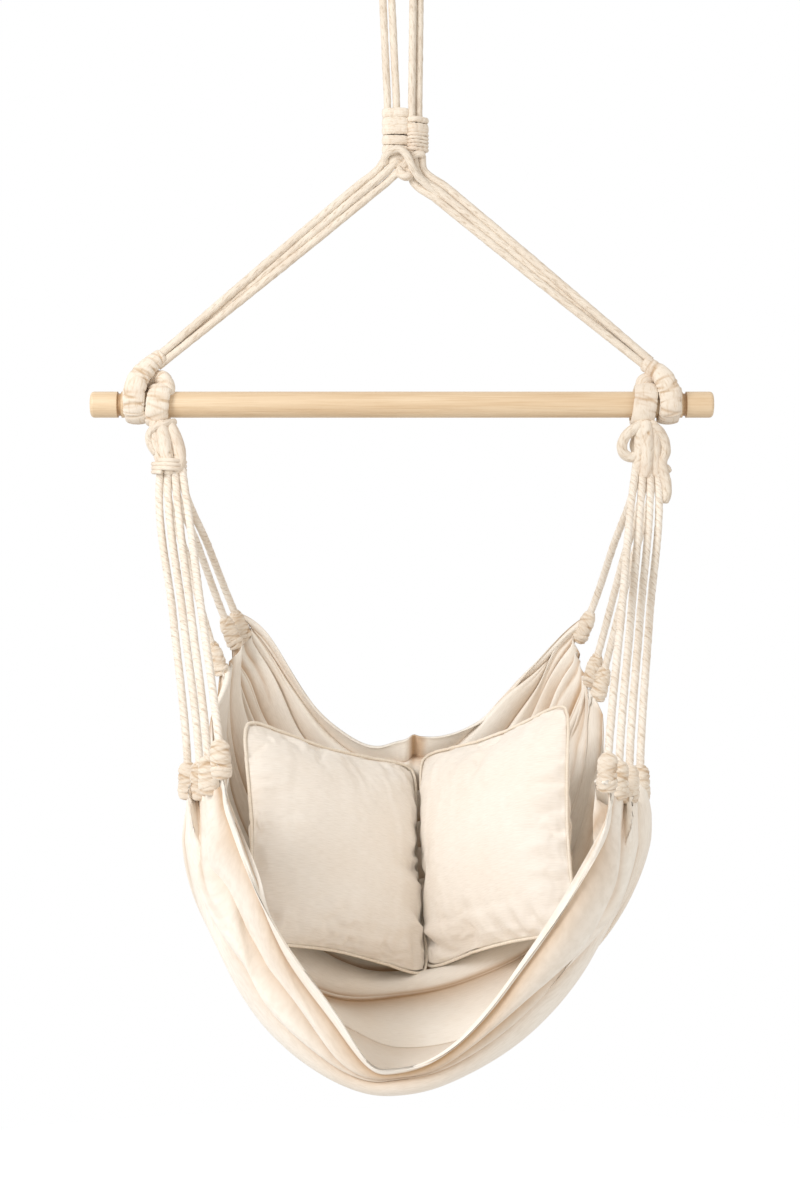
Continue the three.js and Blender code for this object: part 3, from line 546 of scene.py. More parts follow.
class NodeBench:
    """A material's node tree, with short ways to add and join its nodes."""

    def __init__(self, name: str) -> None:
        """Starts a material of this name.

        Args:
            name: of the material.
        """
        self.material = bpy.data.materials.new(name)
        self.material.use_nodes = True
        self.nodes = self.material.node_tree.nodes
        self.links = self.material.node_tree.links
        self.shader = self.nodes["Principled BSDF"]

    def add(self, kind: str, inputs: dict | None = None, **settings: object) -> bpy.types.Node:
        """Adds a node.

        Args:
            kind: its type.
            inputs: sockets by name or number, each given a value or joined to the socket given.
            **settings: its own properties.

        Returns:
            The node.
        """
        node = self.nodes.new(kind)
        for key, value in settings.items():
            setattr(node, key, value)
        for key, value in (inputs or {}).items():
            if isinstance(value, Socket):
                self.links.new(value, node.inputs[key])
            else:
                node.inputs[key].default_value = value
        return node

    def join(self, socket: Socket, to: str) -> None:
        """Joins a socket to one of the shader's."""
        self.links.new(socket, self.shader.inputs[to])

    def noise(self, vector: Socket, scale: float, detail: float = 3, roughness: float = 0.55) -> Socket:
        """A noise of the size given, in features a metre."""
        inputs = {"Vector": vector, "Scale": scale, "Detail": detail, "Roughness": roughness}
        return self.add("ShaderNodeTexNoise", inputs).outputs["Fac"]

    def mapped(self, vector: Socket, scale: Triple, turn: float = 0.0) -> Socket:
        """A pattern's place, stretched and turned."""
        inputs = {"Vector": vector, "Scale": scale, "Rotation": (0, 0, turn)}
        return self.add("ShaderNodeMapping", inputs).outputs["Vector"]

    def ramp(self, value: Socket, low: tuple, high: tuple, start: float = 0.3, end: float = 0.7) -> Socket:
        """A colour between two, by a value between start and end.

        Args:
            value: the value.
            low: the colour at start.
            high: the colour at end.
            start: the low value.
            end: the high value.

        Returns:
            The colour.
        """
        node = self.add("ShaderNodeValToRGB", {"Fac": value})
        first, second = node.color_ramp.elements
        first.position, second.position = start, end
        first.color, second.color = low, high
        return node.outputs["Color"]

    def hollows(self, brown: Triple) -> Socket:
        """Painted shade: a tint from white on the piece's heights to the colour given in its deepest creases and
        grooves.
        """
        hollow = self.add("ShaderNodeAttribute", attribute_name="hollow")
        return self.ramp(hollow.outputs["Fac"], (1, 1, 1, 1), (*brown, 1), 0.05, 1.0)

    def maths(self, operation: str, first: object, second: object) -> Socket:
        """A sum, product or the like of two values."""
        return self.add("ShaderNodeMath", {0: first, 1: second}, operation=operation).outputs[0]

    def waves(self, vector: Socket, width: float, direction: str, inputs: dict[str, float]) -> Socket:
        """Bands across a direction, of the width given in metres."""
        inputs = {"Vector": vector, "Scale": WAVE_SCALE / width, **inputs}
        return self.add("ShaderNodeTexWave", inputs, bands_direction=direction).outputs["Fac"]

    def surface(self, values: dict[str, float]) -> None:
        """Sets sockets of the shader."""
        for name, value in values.items():
            self.shader.inputs[name].default_value = value

    def bump(self, height: Socket, strength: float, distance: float) -> None:
        """Joins a height to the shader's normal."""
        node = self.add("ShaderNodeBump", {"Height": height, "Strength": strength, "Distance": distance})
        self.join(node.outputs["Normal"], "Normal")

    def multiply(self, first: Socket, second: Socket, share: float = 1.0) -> Socket:
        """The product of two colours.

        Args:
            first: a colour.
            second: another.
            share: how much of the product is taken.

        Returns:
            The product.
        """
        node = self.add("ShaderNodeMix", data_type="RGBA", blend_type="MULTIPLY")
        node.inputs["Factor"].default_value = share
        self.links.new(first, node.inputs[6])
        self.links.new(second, node.inputs[7])
        return node.outputs[2]


@dataclass(frozen=True)
class CottonCloth:
    """Plain woven cotton canvas: fine warp and weft, soft mottling and a little sheen."""

    name: str
    light: Triple
    deep: Triple
    thread: float = 0.0011
    relief: float = 0.16
    pucker: float = 0.0

    def build(self) -> bpy.types.Material:
        """Makes the material. The weave follows the piece's own pattern, and the mottling its place.

        Returns:
            The material.
        """
        bench = NodeBench(self.name)
        texture = bench.add("ShaderNodeTexCoord")
        flat, place = texture.outputs["UV"], texture.outputs["Object"]
        mottle = bench.ramp(bench.noise(place, 9, 4), linear(*self.deep), linear(*self.light), 0.3, 0.62)
        slub = bench.noise(bench.mapped(flat, (60, 900, 1)), 1.0, 2)
        threads = bench.ramp(slub, (0.93, 0.92, 0.905, 1), (1, 1, 1, 1), 0.35, 0.6)
        # The base colour takes painted shade, a brown tint in the cloth's creases and recesses.
        bench.join(
            bench.multiply(bench.multiply(mottle, threads), bench.hollows((0.60, 0.42, 0.26))), "Base Color"
        )
        warp, weft = (bench.waves(flat, self.thread, way, {"Distortion": 1.2, "Detail": 1}) for way in "XY")
        weave = bench.maths("MULTIPLY", warp, weft)
        soft = bench.maths("MULTIPLY", bench.noise(place, 70, 3), 0.9 + self.pucker)
        bench.bump(bench.maths("ADD", weave, soft), self.relief, 0.0012)
        bench.join(bench.ramp(slub, grey(0.82), grey(0.94)), "Roughness")
        bench.surface({"Sheen Weight": 0.18, "Sheen Roughness": 0.6, "Specular IOR Level": 0.18})
        return bench.material


@dataclass(frozen=True)
class CottonRope:
    """Soft cotton rope: slanting yarns, small shaded flecks between them and loose fibres."""

    name: str
    light: Triple
    deep: Triple
    slant: float = 1.1
    yarn: float = 0.0022
    flecks: float = 0.74
    relief: float = 0.5

    def build(self) -> bpy.types.Material:
        """Makes the material. The yarns follow the rope's own pattern, round it and along it.

        Returns:
            The material.
        """
        bench = NodeBench(self.name)
        texture = bench.add("ShaderNodeTexCoord")
        flat, place = texture.outputs["UV"], texture.outputs["Object"]
        leaning = bench.mapped(flat, (1, 1, 1), self.slant)
        yarns = bench.waves(leaning, self.yarn, "X", {"Distortion": 2.2, "Detail": 2, "Detail Scale": 1.4})
        fleck = bench.noise(bench.mapped(leaning, (330, 62, 1)), 1.0, 2, 0.6)
        fibres = bench.noise(bench.mapped(leaning, (2400, 220, 1)), 1.0, 2, 0.6)
        tone = bench.ramp(bench.noise(place, 26, 3), linear(*self.deep), linear(*self.light), 0.32, 0.6)
        low = self.flecks
        shade = bench.ramp(fleck, (low, low * 0.93, low * 0.84, 1), (1, 1, 1, 1), 0.3, 0.48)
        fine = bench.ramp(fibres, (0.9, 0.885, 0.86, 1), (1, 1, 1, 1), 0.3, 0.55)
        cotton = bench.multiply(bench.multiply(tone, shade), fine)
        # The base colour takes painted shade, a brown tint in the rope's grooves and creases.
        bench.join(bench.multiply(cotton, bench.hollows((0.74, 0.62, 0.49))), "Base Color")
        height = bench.maths("ADD", bench.maths("MULTIPLY", yarns, 0.5), fleck)
        height = bench.maths("ADD", height, bench.maths("MULTIPLY", fibres, 0.4))
        bench.bump(height, self.relief, 0.0009)
        bench.join(bench.ramp(fibres, grey(0.85), grey(0.96)), "Roughness")
        bench.surface({"Sheen Weight": 0.25, "Sheen Roughness": 0.7, "Specular IOR Level": 0.12})
        return bench.material


@dataclass(frozen=True)
class PaleWood:
    """Sanded pale wood with a fine straight grain along the bar and a thin clear finish."""

    name: str
    light: Triple
    deep: Triple

    def build(self) -> bpy.types.Material:
        """Makes the material. The grain is noise that is stretched along the bar, over slow growth bands.

        Returns:
            The material.
        """
        bench = NodeBench(self.name)
        place = bench.add("ShaderNodeTexCoord").outputs["Object"]
        bands = bench.noise(bench.mapped(place, (1.6, 34, 34)), 1.0, 3, 0.5)
        grain = bench.noise(bench.mapped(place, (9, 620, 620)), 1.0, 4, 0.7)
        pores = bench.noise(bench.mapped(place, (55, 1500, 1500)), 1.0, 2, 0.7)
        wood = bench.ramp(bands, linear(*self.deep), linear(*self.light), 0.36, 0.6)
        lines = bench.ramp(grain, (0.86, 0.8, 0.72, 1), (1, 1, 1, 1), 0.34, 0.56)
        specks = bench.ramp(pores, (0.88, 0.84, 0.77, 1), (1, 1, 1, 1), 0.24, 0.36)
        planed = bench.multiply(bench.multiply(wood, lines), specks)
        # The base colour takes painted shade, a brown tint in and beside the bar's grooves.
        bench.join(bench.multiply(planed, bench.hollows((0.62, 0.50, 0.38))), "Base Color")
        bench.bump(bench.maths("ADD", grain, bench.maths("MULTIPLY", pores, 0.5)), 0.12, 0.0006)
        bench.join(bench.ramp(grain, grey(0.42), grey(0.58)), "Roughness")
        bench.surface({"Coat Weight": 0.12, "Coat Roughness": 0.35})
        return bench.material


@dataclass(frozen=True)
class BrushedSteel:
    """Bright steel wire with fine scuffs along its bends."""

    name: str
    tone: Triple

    def build(self) -> bpy.types.Material:
        """Makes the material, whose roughness and colour vary with fine scratches.

        Returns:
            The material.
        """
        bench = NodeBench(self.name)
        texture = bench.add("ShaderNodeTexCoord")
        scratches = bench.noise(bench.mapped(texture.outputs["UV"], (1800, 60, 1)), 1.0, 3, 0.65)
        smudges = bench.noise(texture.outputs["Object"], 60, 3)
        dull = tuple(0.82 * c for c in self.tone)
        bench.join(bench.ramp(smudges, linear(*dull), linear(*self.tone), 0.35, 0.65), "Base Color")
        bench.join(bench.ramp(scratches, grey(0.22), grey(0.42)), "Roughness")
        bench.bump(scratches, 0.08, 0.0003)
        bench.surface({"Metallic": 1.0})
        return bench.material


@dataclass
class Finishes:
    """Every finish of the chair."""

    canvas: bpy.types.Material = field(init=False)
    pillow: bpy.types.Material = field(init=False)
    piping: bpy.types.Material = field(init=False)
    rope: bpy.types.Material = field(init=False)
    bridle: bpy.types.Material = field(init=False)
    binding: bpy.types.Material = field(init=False)
    gather: bpy.types.Material = field(init=False)
    wood: bpy.types.Material = field(init=False)
    steel: bpy.types.Material = field(init=False)

    def __post_init__(self) -> None:
        """Makes the materials."""
        self.canvas = CottonCloth("seat_canvas_cotton", (252, 246, 237), (248, 239, 227)).build()
        self.pillow = CottonCloth(
            "pillow_canvas_cotton", (249, 242, 233), (245, 236, 225), 0.0010, 0.12
        ).build()
        self.piping = CottonCloth(
            "pillow_piping_cotton", (244, 234, 219), (236, 222, 203), 0.0009, 0.14
        ).build()
        self.rope = CottonRope("seat_cord_cotton", (249, 241, 230), (240, 228, 213)).build()
        self.bridle = CottonRope(
            "bridle_rope_cotton", (236, 225, 210), (226, 212, 195), 0.12, 0.0026, 0.74, 0.3
        ).build()
        self.binding = CottonRope(
            "binding_cotton", (239, 228, 213), (230, 215, 198), 0.1, 0.003, 0.86, 0.2
        ).build()
        self.gather = CottonRope(
            "gathered_cotton", (240, 229, 214), (231, 217, 200), 1.2, 0.003, 0.88, 0.2
        ).build()
        self.wood = PaleWood("bar_wood_grain", (230, 207, 175), (218, 191, 156)).build()
        self.steel = BrushedSteel("ring_steel_wire", (200, 202, 205)).build()


@dataclass
class HangingRing:
    """The steel ring: a D of round wire, whose straight side is below."""

    wire: float = 0.012
    inside_width: float = 0.084
    inside_height: float = 0.052
    corner: float = 0.014

    @property
    def straight_up(self) -> float:
        """How high the middle of the straight wire is."""
        return -self.inside_height - self.wire / 2

    def build(self, finishes: Finishes) -> None:
        """Builds the ring as one closed tube.

        Its line is a straight, a quarter circle at each lower corner, and half an ellipse over the top.

        Args:
            finishes: the chair's finishes.
        """
        half = (self.inside_width + self.wire) / 2
        low, high = self.straight_up, self.wire / 2
        quarter = np.linspace(-np.pi / 2, 0, 8)
        over = np.linspace(0, np.pi, 40)[1:-1]
        straight = np.linspace(self.corner - half, half - self.corner, 14)[1:-1]
        right = np.stack(
            [half - self.corner + self.corner * np.cos(quarter), low + self.corner * (1 + np.sin(quarter))],
            -1
        )
        arch = np.stack(
            [half * np.cos(over), low + self.corner + (high - low - self.corner) * np.sin(over)], -1
        )
        outline = np.concatenate(
            [np.stack([straight, np.full(12, low)], -1), right, arch, (right * [-1, 1])[::-1]]
        )
        path = through(np.stack([outline[:, 0], 0 * outline[:, 0], outline[:, 1]], -1), 0.0022, closed=True)
        skin = tube(path, FRONT, self.wire / 2, self.wire / 2, 24, closed=True)
        make_piece("hanging_ring_wire", skin, finishes.steel, "ring", "ring_steel", "hanging_ring")


@dataclass
class HangerLoops:
    """The two rope loops that hang over the ring and go down into the knot."""

    ring: HangingRing
    length: float = 0.246
    spread: float = 0.052
    twist_length: float = 0.072
    wrap_places: tuple[float, float] = (-0.0148, 0.023)
    final_turns: tuple[float, float] = (0.0, 0.6)
    apart: tuple[float, float] = (0.0144, 0.0138)
    over_wire: float = 0.0124

    def on_wire(self, number: int) -> float:
        """Where along the ring's straight wire a loop hangs."""
        return (number - 0.5) * self.spread

    def leg(self, number: int, way: int) -> Array:
        """The points of one leg from the ring down.

        The legs stand one behind the other on the wire, turn by a quarter to lie side by side, and run
        straight down.

        Args:
            number: 0 for the left loop and 1 for the right one.
            way: 1 or -1, for either leg.

        Returns:
            The points, from the top down.
        """
        shares = np.array([0.15, 0.3, 0.45, 0.6, 0.75, 0.9, 1.1])
        drop = np.concatenate([shares * self.twist_length, [0.12, 0.17, 0.21, self.length, 0.29, 0.335]])
        turned = ease(drop, self.ring.wire, self.twist_length)
        angle = np.pi / 2 * (1 - turned) + self.final_turns[number] * turned
        radius = self.over_wire * (1 - turned) + self.apart[number] / 2 * turned
        ring_place = self.on_wire(number)
        x = ring_place + (self.wrap_places[number] - ring_place) * np.minimum(1, drop / self.length)
        return np.stack(
            [x - way * radius * np.cos(angle), -way * radius * np.sin(angle), self.ring.straight_up - drop],
            -1
        )

    def build(self, finishes: Finishes) -> None:
        """Builds each loop as one rope: up a leg, over the wire in a half circle, and down the other leg.

        Args:
            finishes: the chair's finishes.
        """
        for number, side in enumerate(Side):
            over = np.pi * np.linspace(0, 1, 9)
            deep, up = -self.over_wire * np.cos(over), self.ring.straight_up + self.over_wire * np.sin(over)
            bend = np.stack([np.full(9, self.on_wire(number)), deep, up], -1)
            points = np.concatenate([self.leg(number, 1)[::-1], bend, self.leg(number, -1)])
            skin = laid_rope(points, ROPE, ALONG_BAR, 0.02, 0.06, sheath_seed=number)
            make_piece(
                f"loop_rope_{side.label}", skin, finishes.bridle, "hanger", "main_rope",
                f"hanger_loop_{side.label}"
            )


@dataclass
class ApexWraps:
    """The two wraps that bind the legs of the loops together above the knot."""

    sides: int = 20
    half_thick: float = 0.0036

    def band(
        self, centre: Array, skew: float, half_wide: float, half_deep: float, height: float, fall: float,
        seed: int
    ) -> Skin:
        """One turn of a wrap: a flat strip of gathered rope that runs round the legs.

        Its line is an oval, x = wide * cos(a), y = deep * sin(a) with the corners squared up, whose height
        falls evenly by fall over the turn.

        Args:
            centre: its middle.
            skew: how far it is turned about the upright.
            half_wide: half its width.
            half_deep: half its depth.
            height: of the strip.
            fall: how far it comes down.
            seed: of its creases.

        Returns:
            The band.
        """
        a = np.linspace(-0.2, 2 * np.pi + 0.2, 74)
        x = half_wide * np.sign(np.cos(a)) * np.abs(np.cos(a)) ** 0.72
        y = half_deep * np.sign(np.sin(a)) * np.abs(np.sin(a)) ** 0.72
        path = np.stack(
            [
                x * math.cos(skew) - y * math.sin(skew), x * math.sin(skew) + y * math.cos(skew),
                -fall * a / 6.28
            ],
            -1
        )
        path = through(path + centre, 0.0016)
        dent = creases(run_of(path), angles(self.sides), seed, 120, 0.0007, 0.0009, 0.8, 0.003)
        return tube(path, UP, self.half_thick, height / 2, self.sides, dent=dent)

    def build(self, finishes: Finishes) -> None:
        """Stacks the bands: five wide ones on the left, two wide and five narrow ones on the right.

        Args:
            finishes: the chair's finishes.
        """
        left = seen([(395.8, y, 0.0) for y in (113.6, 122.2, 131.2, 140.3, 149.0)])
        tilts = [0.0, 0.001, -0.0012, 0.0016, 0.0042]
        skins = [
            self.band(p, 0.02 * n, 0.0192, 0.0102, 0.0155, tilt, 31 + n)
            for n, (p, tilt) in enumerate(zip(left, tilts))
        ]
        make_piece(
            "wrap_bands_left", Skin.joined(skins), finishes.binding, "hanger", "wrap_rope", "apex_wrap_left"
        )
        right = seen([(417.8, y, 0.0) for y in (119.8, 128.2, 134.4, 138.0, 141.6, 145.2, 149.0)])
        heights = [0.0100, 0.0160, 0.0062, 0.0062, 0.0062, 0.0062, 0.0072]
        skins = [
            self.band(p, 0.6, 0.0152, 0.0088, h, 0.0016, 51 + n)
            for n, (p, h) in enumerate(zip(right, heights))
        ]
        make_piece(
            "wrap_bands_right", Skin.joined(skins), finishes.binding, "hanger", "wrap_rope", "apex_wrap_right"
        )


@dataclass
class ApexKnot:
    """The knot below the wraps, from whose crossing strands the bridle leaves on both sides."""

    def build(self, finishes: Finishes) -> None:
        """Lays the strands of the knot over each other, each a rope along its own line.

        Args:
            finishes: the chair's finishes.
        """
        crossing = seen([
            (386, 166, 0.004), (385, 157, -0.008), (391, 151, -0.017), (399, 149, -0.021),
            (406, 154, -0.022), (411, 164, -0.02), (417, 175, -0.013), (428, 186, -0.006),
            (439, 195, 0.0), (450, 204, 0.007)
        ])
        ring = seen([
            (398, 170, -0.002), (401.5, 174.5, -0.009), (405, 176.3, -0.011), (409, 175.5, -0.009),
            (412, 171, -0.002)
        ])
        heart = seen([(391, 153, 0.002), (399, 159, 0.0), (405, 167, 0.0), (406.5, 175, 0.0)])
        over = seen([
            (425, 156, -0.004), (419, 154, -0.009), (413, 156, -0.010), (408, 161, -0.008),
            (403, 168, -0.004)
        ])
        skins = [
            laid_rope(crossing, 0.0122, UP, 0.03, 0.05, sheath_seed=61, ends=(0.005, 0.005)),
            laid_rope(over, 0.012, UP, 0.03, 0.05, sheath_seed=63, ends=(0.005, 0.005)),
            laid_rope(
                ring, 0.0150, FRONT * -1 + ALONG_BAR * 0.3, 0.05, 0.05, sheath_seed=62, ends=(0.006, 0.006),
                sides=20
            ),
            bound_tube(
                heart, FRONT, [0.016, 0.019, 0.0145, 0.009], [0.010, 0.011, 0.009, 0.007], 64, 20, 0.0012,
                reach=0.6
            ),
        ]
        make_piece("knot_strands", Skin.joined(skins), finishes.bridle, "hanger", "main_rope", "apex_knot")


@dataclass
class Bridle:
    """Three ropes a side from the knot to the bar's outer hitches."""

    tail_reach: float = 0.049
    tail_rise: float = 0.076
    hitch_offset: float = 0.432
    root: float = 0.010
    strand: float = 0.0130
    gap: float = 0.0008

    def ropes(self, side: Side) -> list[Array]:
        """The lines of a side's ropes.

        Each runs straight from the knot to the hitch. The offset from their middle line turns from one above
        the other at the knot to a triangle at the hitch, and they bend into the knot near its end.

        Args:
            side: the side.

        Returns:
            The three lines, from the knot to the hitch.
        """
        way = side.value
        start = np.array([way * self.root, 0, KNOT_UP])
        end = np.array([BAR_ACROSS + way * (self.hitch_offset - self.tail_reach), 0, BAR_UP + self.tail_rise])
        run = unit(start - end)
        up = np.array([-run[2], 0, run[0]])
        up = up if up[2] > 0 else -up
        at_knot = [(1, 0), (0, -0.35), (-1, 0)]
        at_hitch = [(0.5, -0.29), (0, 0.58), (-0.5, -0.29)]
        t = np.linspace(0.045, 1.035, 11)
        lines = []
        for (u0, y0), (u1, y1) in zip(at_knot, at_hitch):
            apart = (ROPE + self.gap) / np.hypot(1 - 0.5 * t, 0.87 * t)
            middle = start + (end - start) * t[:, None]
            middle = middle + up * (apart * (u0 + (u1 - u0) * t))[:, None]
            middle[:, 1] += apart * (y0 + (y1 - y0) * t)
            lines.append(middle)
        return lines

    def build(self, finishes: Finishes) -> None:
        """Builds the six ropes, with their ends bent into the knot.

        Args:
            finishes: the chair's finishes.
        """
        roots = {
            Side.LEFT: [(387, 156, 0.0), (398, 160, -0.004), (402, 168, -0.006)],
            Side.RIGHT: [(422, 156, 0.0), (414, 157, -0.004), (412, 166, -0.010)],
        }
        for side in Side:
            for number, line in enumerate(self.ropes(side)):
                points = np.concatenate([seen([roots[side][number]]), line])
                skin = laid_rope(
                    points, self.strand, FRONT, 0.02, 0.055, sheath_seed=70 + number + side.value
                )
                node = f"bridle_rope_{side.label}_{number + 1}"
                make_piece(
                    f"bridle_strand_{side.label}_{number + 1}", skin, finishes.bridle, "hanger", "main_rope",
                    node
                )


@dataclass
class SpreaderBar:
    """The round wooden bar, turned from one profile."""

    length: float = 1.0
    radius: float = BAR_RADIUS
    end_round: float = 0.006
    groove_place: float = 0.4532
    groove_width: float = 0.006
    groove_depth: float = 0.003
    sides: int = 48

    def build(self, finishes: Finishes) -> None:
        """Carries a round section along the bar.

        Its radius is constant, drops over each groove by depth * (1 - ((x - place) / half width)^4), and
        closes at the ends along a quarter circle.

        Args:
            finishes: the chair's finishes.
        """
        half = self.length / 2
        turn = np.linspace(0, np.pi / 2, 9)
        inner = half - self.end_round
        x = np.concatenate([
            np.linspace(0, self.groove_place - 0.0045, 30),
            np.linspace(self.groove_place - 0.0035, self.groove_place + 0.0035, 15),
            np.linspace(self.groove_place + 0.0045, inner - 0.001, 8),
            inner + self.end_round * np.sin(turn),
        ])
        x = np.concatenate([-x[:0:-1], x])
        off = np.abs(np.abs(x) - self.groove_place) / (self.groove_width / 2)
        radius = self.radius - self.groove_depth * np.maximum(0, 1 - off**4)
        past = np.clip((np.abs(x) - inner) / self.end_round, 0, 1)
        radius -= self.end_round * (1 - np.sqrt(1 - past**2))
        path = np.stack([x + BAR_ACROSS, 0 * x, 0 * x + BAR_UP], -1)
        # Painted shade in each groove and a little past its edges, read by the wood as a brown tint.
        groove_shade = np.maximum(0, 1 - (off / 1.5) ** 4)[:, None] * np.ones(self.sides)
        skin = tube(path, FRONT, radius, radius, self.sides, hollow=groove_shade)
        make_piece("bar_turned_wood", skin, finishes.wood, "hanger", "bar_wood", "spreader_bar")


@dataclass
class BarHitches:
    """The bound rolls round the bar: a side has an outer one for the bridle and an inner one for the seat."""

    outer_radius: float = 0.0264
    inner_radius: float = 0.0292
    outer_half: tuple[float, float] = (0.0174, 0.0056)
    inner_half: tuple[float, float] = (0.0188, 0.0082)
    sides: int = 40

    def roll(self, across: float, slant: float, seed: int, radius: float, half: tuple[float, float]) -> Skin:
        """A roll of bound cotton once round the bar, slanting by slant from its front to its back.

        Args:
            across: its place along the bar.
            slant: how far it slants.
            seed: of its creases.
            radius: of its middle line.
            half: half its width and half its depth.

        Returns:
            The roll.
        """
        a = np.linspace(0, 2 * np.pi, 33)[:-1]
        points = np.stack([across + slant * np.sin(a), -radius * np.cos(a), BAR_UP + radius * np.sin(a)], -1)
        path = through(points, 0.0013, closed=True)
        angle = np.arctan2(path[:, 2] - BAR_UP, -path[:, 1])
        hint = np.stack([0 * angle, -np.cos(angle), np.sin(angle)], -1)
        dent = creases(run_of(path), angles(self.sides), seed, 46, 0.0019, 0.0017, 1.2, 0.0035)
        return tube(path, hint, *half, self.sides, True, dent)

    def outer(self, side: Side) -> list[Skin]:
        """An outer hitch: its roll, the tail that swings up to the bridle, and the strand behind.

        Args:
            side: the side.

        Returns:
            The skins of its three parts.
        """
        if side is Side.LEFT:
            tail = seen([
                (134.0, 416, -0.020), (133.4, 404, -0.028), (134.3, 391, -0.028), (138.8, 378, -0.024),
                (148.0, 367.2, -0.014), (156, 360.5, -0.006), (164, 354.5, -0.002)
            ])
            lobe = seen([
                (143, 396, 0.024), (149, 384, 0.012), (156, 377.5, 0.0), (164.5, 379.0, -0.008),
                (168.5, 387, -0.010), (169.5, 397, -0.006)
            ])
            across = on_bar(133.6)
        else:
            tail = seen([
                (671.7, 417, -0.020), (671.2, 408, -0.028), (670.5, 396, -0.028), (667, 384, -0.024),
                (660, 374.2, -0.014), (651, 367.5, -0.006), (643, 361.5, -0.002)
            ])
            lobe = seen([
                (662, 396, 0.024), (656, 385, 0.012), (650, 379.5, 0.0), (643, 381.5, -0.006),
                (640, 389, -0.006)
            ])
            across = on_bar(671.2)
        wide = [0.0170, 0.0176, 0.0178, 0.0176, 0.0162, 0.0142, 0.0128]
        deep = [0.0064, 0.0082, 0.0092, 0.0105, 0.0124, 0.0130, 0.0126]
        fat = [0.0096, 0.0112, 0.0118, 0.0118, 0.0110, 0.0096]
        seed = 100 + side.value
        return [
            self.roll(across, 0.002 * side.value, seed, self.outer_radius, self.outer_half),
            bound_tube(tail, FRONT, wide, deep, seed + 3, 42, 0.0022, 0.0018, ends=(0.006, 0.006), reach=1.1),
            bound_tube(lobe, FRONT, fat, fat, seed + 6, 26, 0.0016, 0.0016, reach=1.1),
        ]

    def inner(self, side: Side) -> list[Skin]:
        """An inner hitch: its roll, and the lobes of the bundle that come down to the gathered cords.

        Args:
            side: the side.

        Returns:
            The skins of its roll and lobes.
        """
        seed = 120 + side.value
        if side is Side.LEFT:
            across = on_bar(157.4)
            lobes = [
                (
                    [
                        (153, 420, -0.022), (155.5, 436, -0.016), (157.5, 450, -0.012), (161, 464, -0.010),
                        (162, 474, -0.008)
                    ],
                    0.0088
                ),
                (
                    [
                        (160, 420, -0.026), (164, 436, -0.022), (166, 450, -0.019), (168, 464, -0.016),
                        (169, 475, -0.012)
                    ],
                    0.0106
                ),
                (
                    [
                        (167, 420, -0.018), (174.5, 436, -0.016), (179, 450, -0.013), (179.5, 464, -0.012),
                        (178, 474, -0.01)
                    ],
                    0.0108
                ),
                ([(158, 416, 0.02), (163, 436, 0.013), (168, 452, 0.009), (170, 474, 0.008)], 0.0145),
            ]
        else:
            across = on_bar(645.7)
            lobes = [
                (
                    [
                        (641, 420, -0.024), (640, 436, -0.018), (640, 450, -0.014), (638, 466, -0.010),
                        (636, 476, -0.008)
                    ],
                    0.0094
                ),
                (
                    [
                        (646, 420, -0.028), (647, 436, -0.024), (647, 450, -0.020), (646, 466, -0.016),
                        (645, 478, -0.012)
                    ],
                    0.0100
                ),
                (
                    [
                        (652, 420, -0.022), (654, 436, -0.018), (655, 450, -0.014), (655, 466, -0.010),
                        (656, 478, -0.008)
                    ],
                    0.0098
                ),
                ([(646, 416, 0.02), (647, 436, 0.013), (646, 452, 0.009), (646, 478, 0.008)], 0.0150),
            ]
        skins = [self.roll(across, 0.0035, seed, self.inner_radius, self.inner_half)]
        for number, (points, radius) in enumerate(lobes):
            size = [radius * 0.8, radius, radius, radius * 0.96, radius * 0.82]
            skins.append(
                bound_tube(
                    seen(points), FRONT, size, size, seed + 3 * number + 9, 24, 0.0013, 0.0022, reach=0.5,
                    tilt=0.016
                )
            )
        return skins

    def build(self, finishes: Finishes) -> None:
        """Builds the four hitches. The outer ones ride on the hanger, and the inner ones on the seat.

        Args:
            finishes: the chair's finishes.
        """
        for side in Side:
            name = side.label
            outer = Skin.joined(self.outer(side))
            make_piece(
                f"outer_hitch_roll_{name}", outer, finishes.binding, "hanger", "wrap_rope",
                f"bar_hitch_outer_{name}"
            )
            inner = Skin.joined(self.inner(side))
            make_piece(
                f"inner_hitch_roll_{name}", inner, finishes.binding, "seat", "wrap_rope",
                f"bar_hitch_inner_{name}"
            )


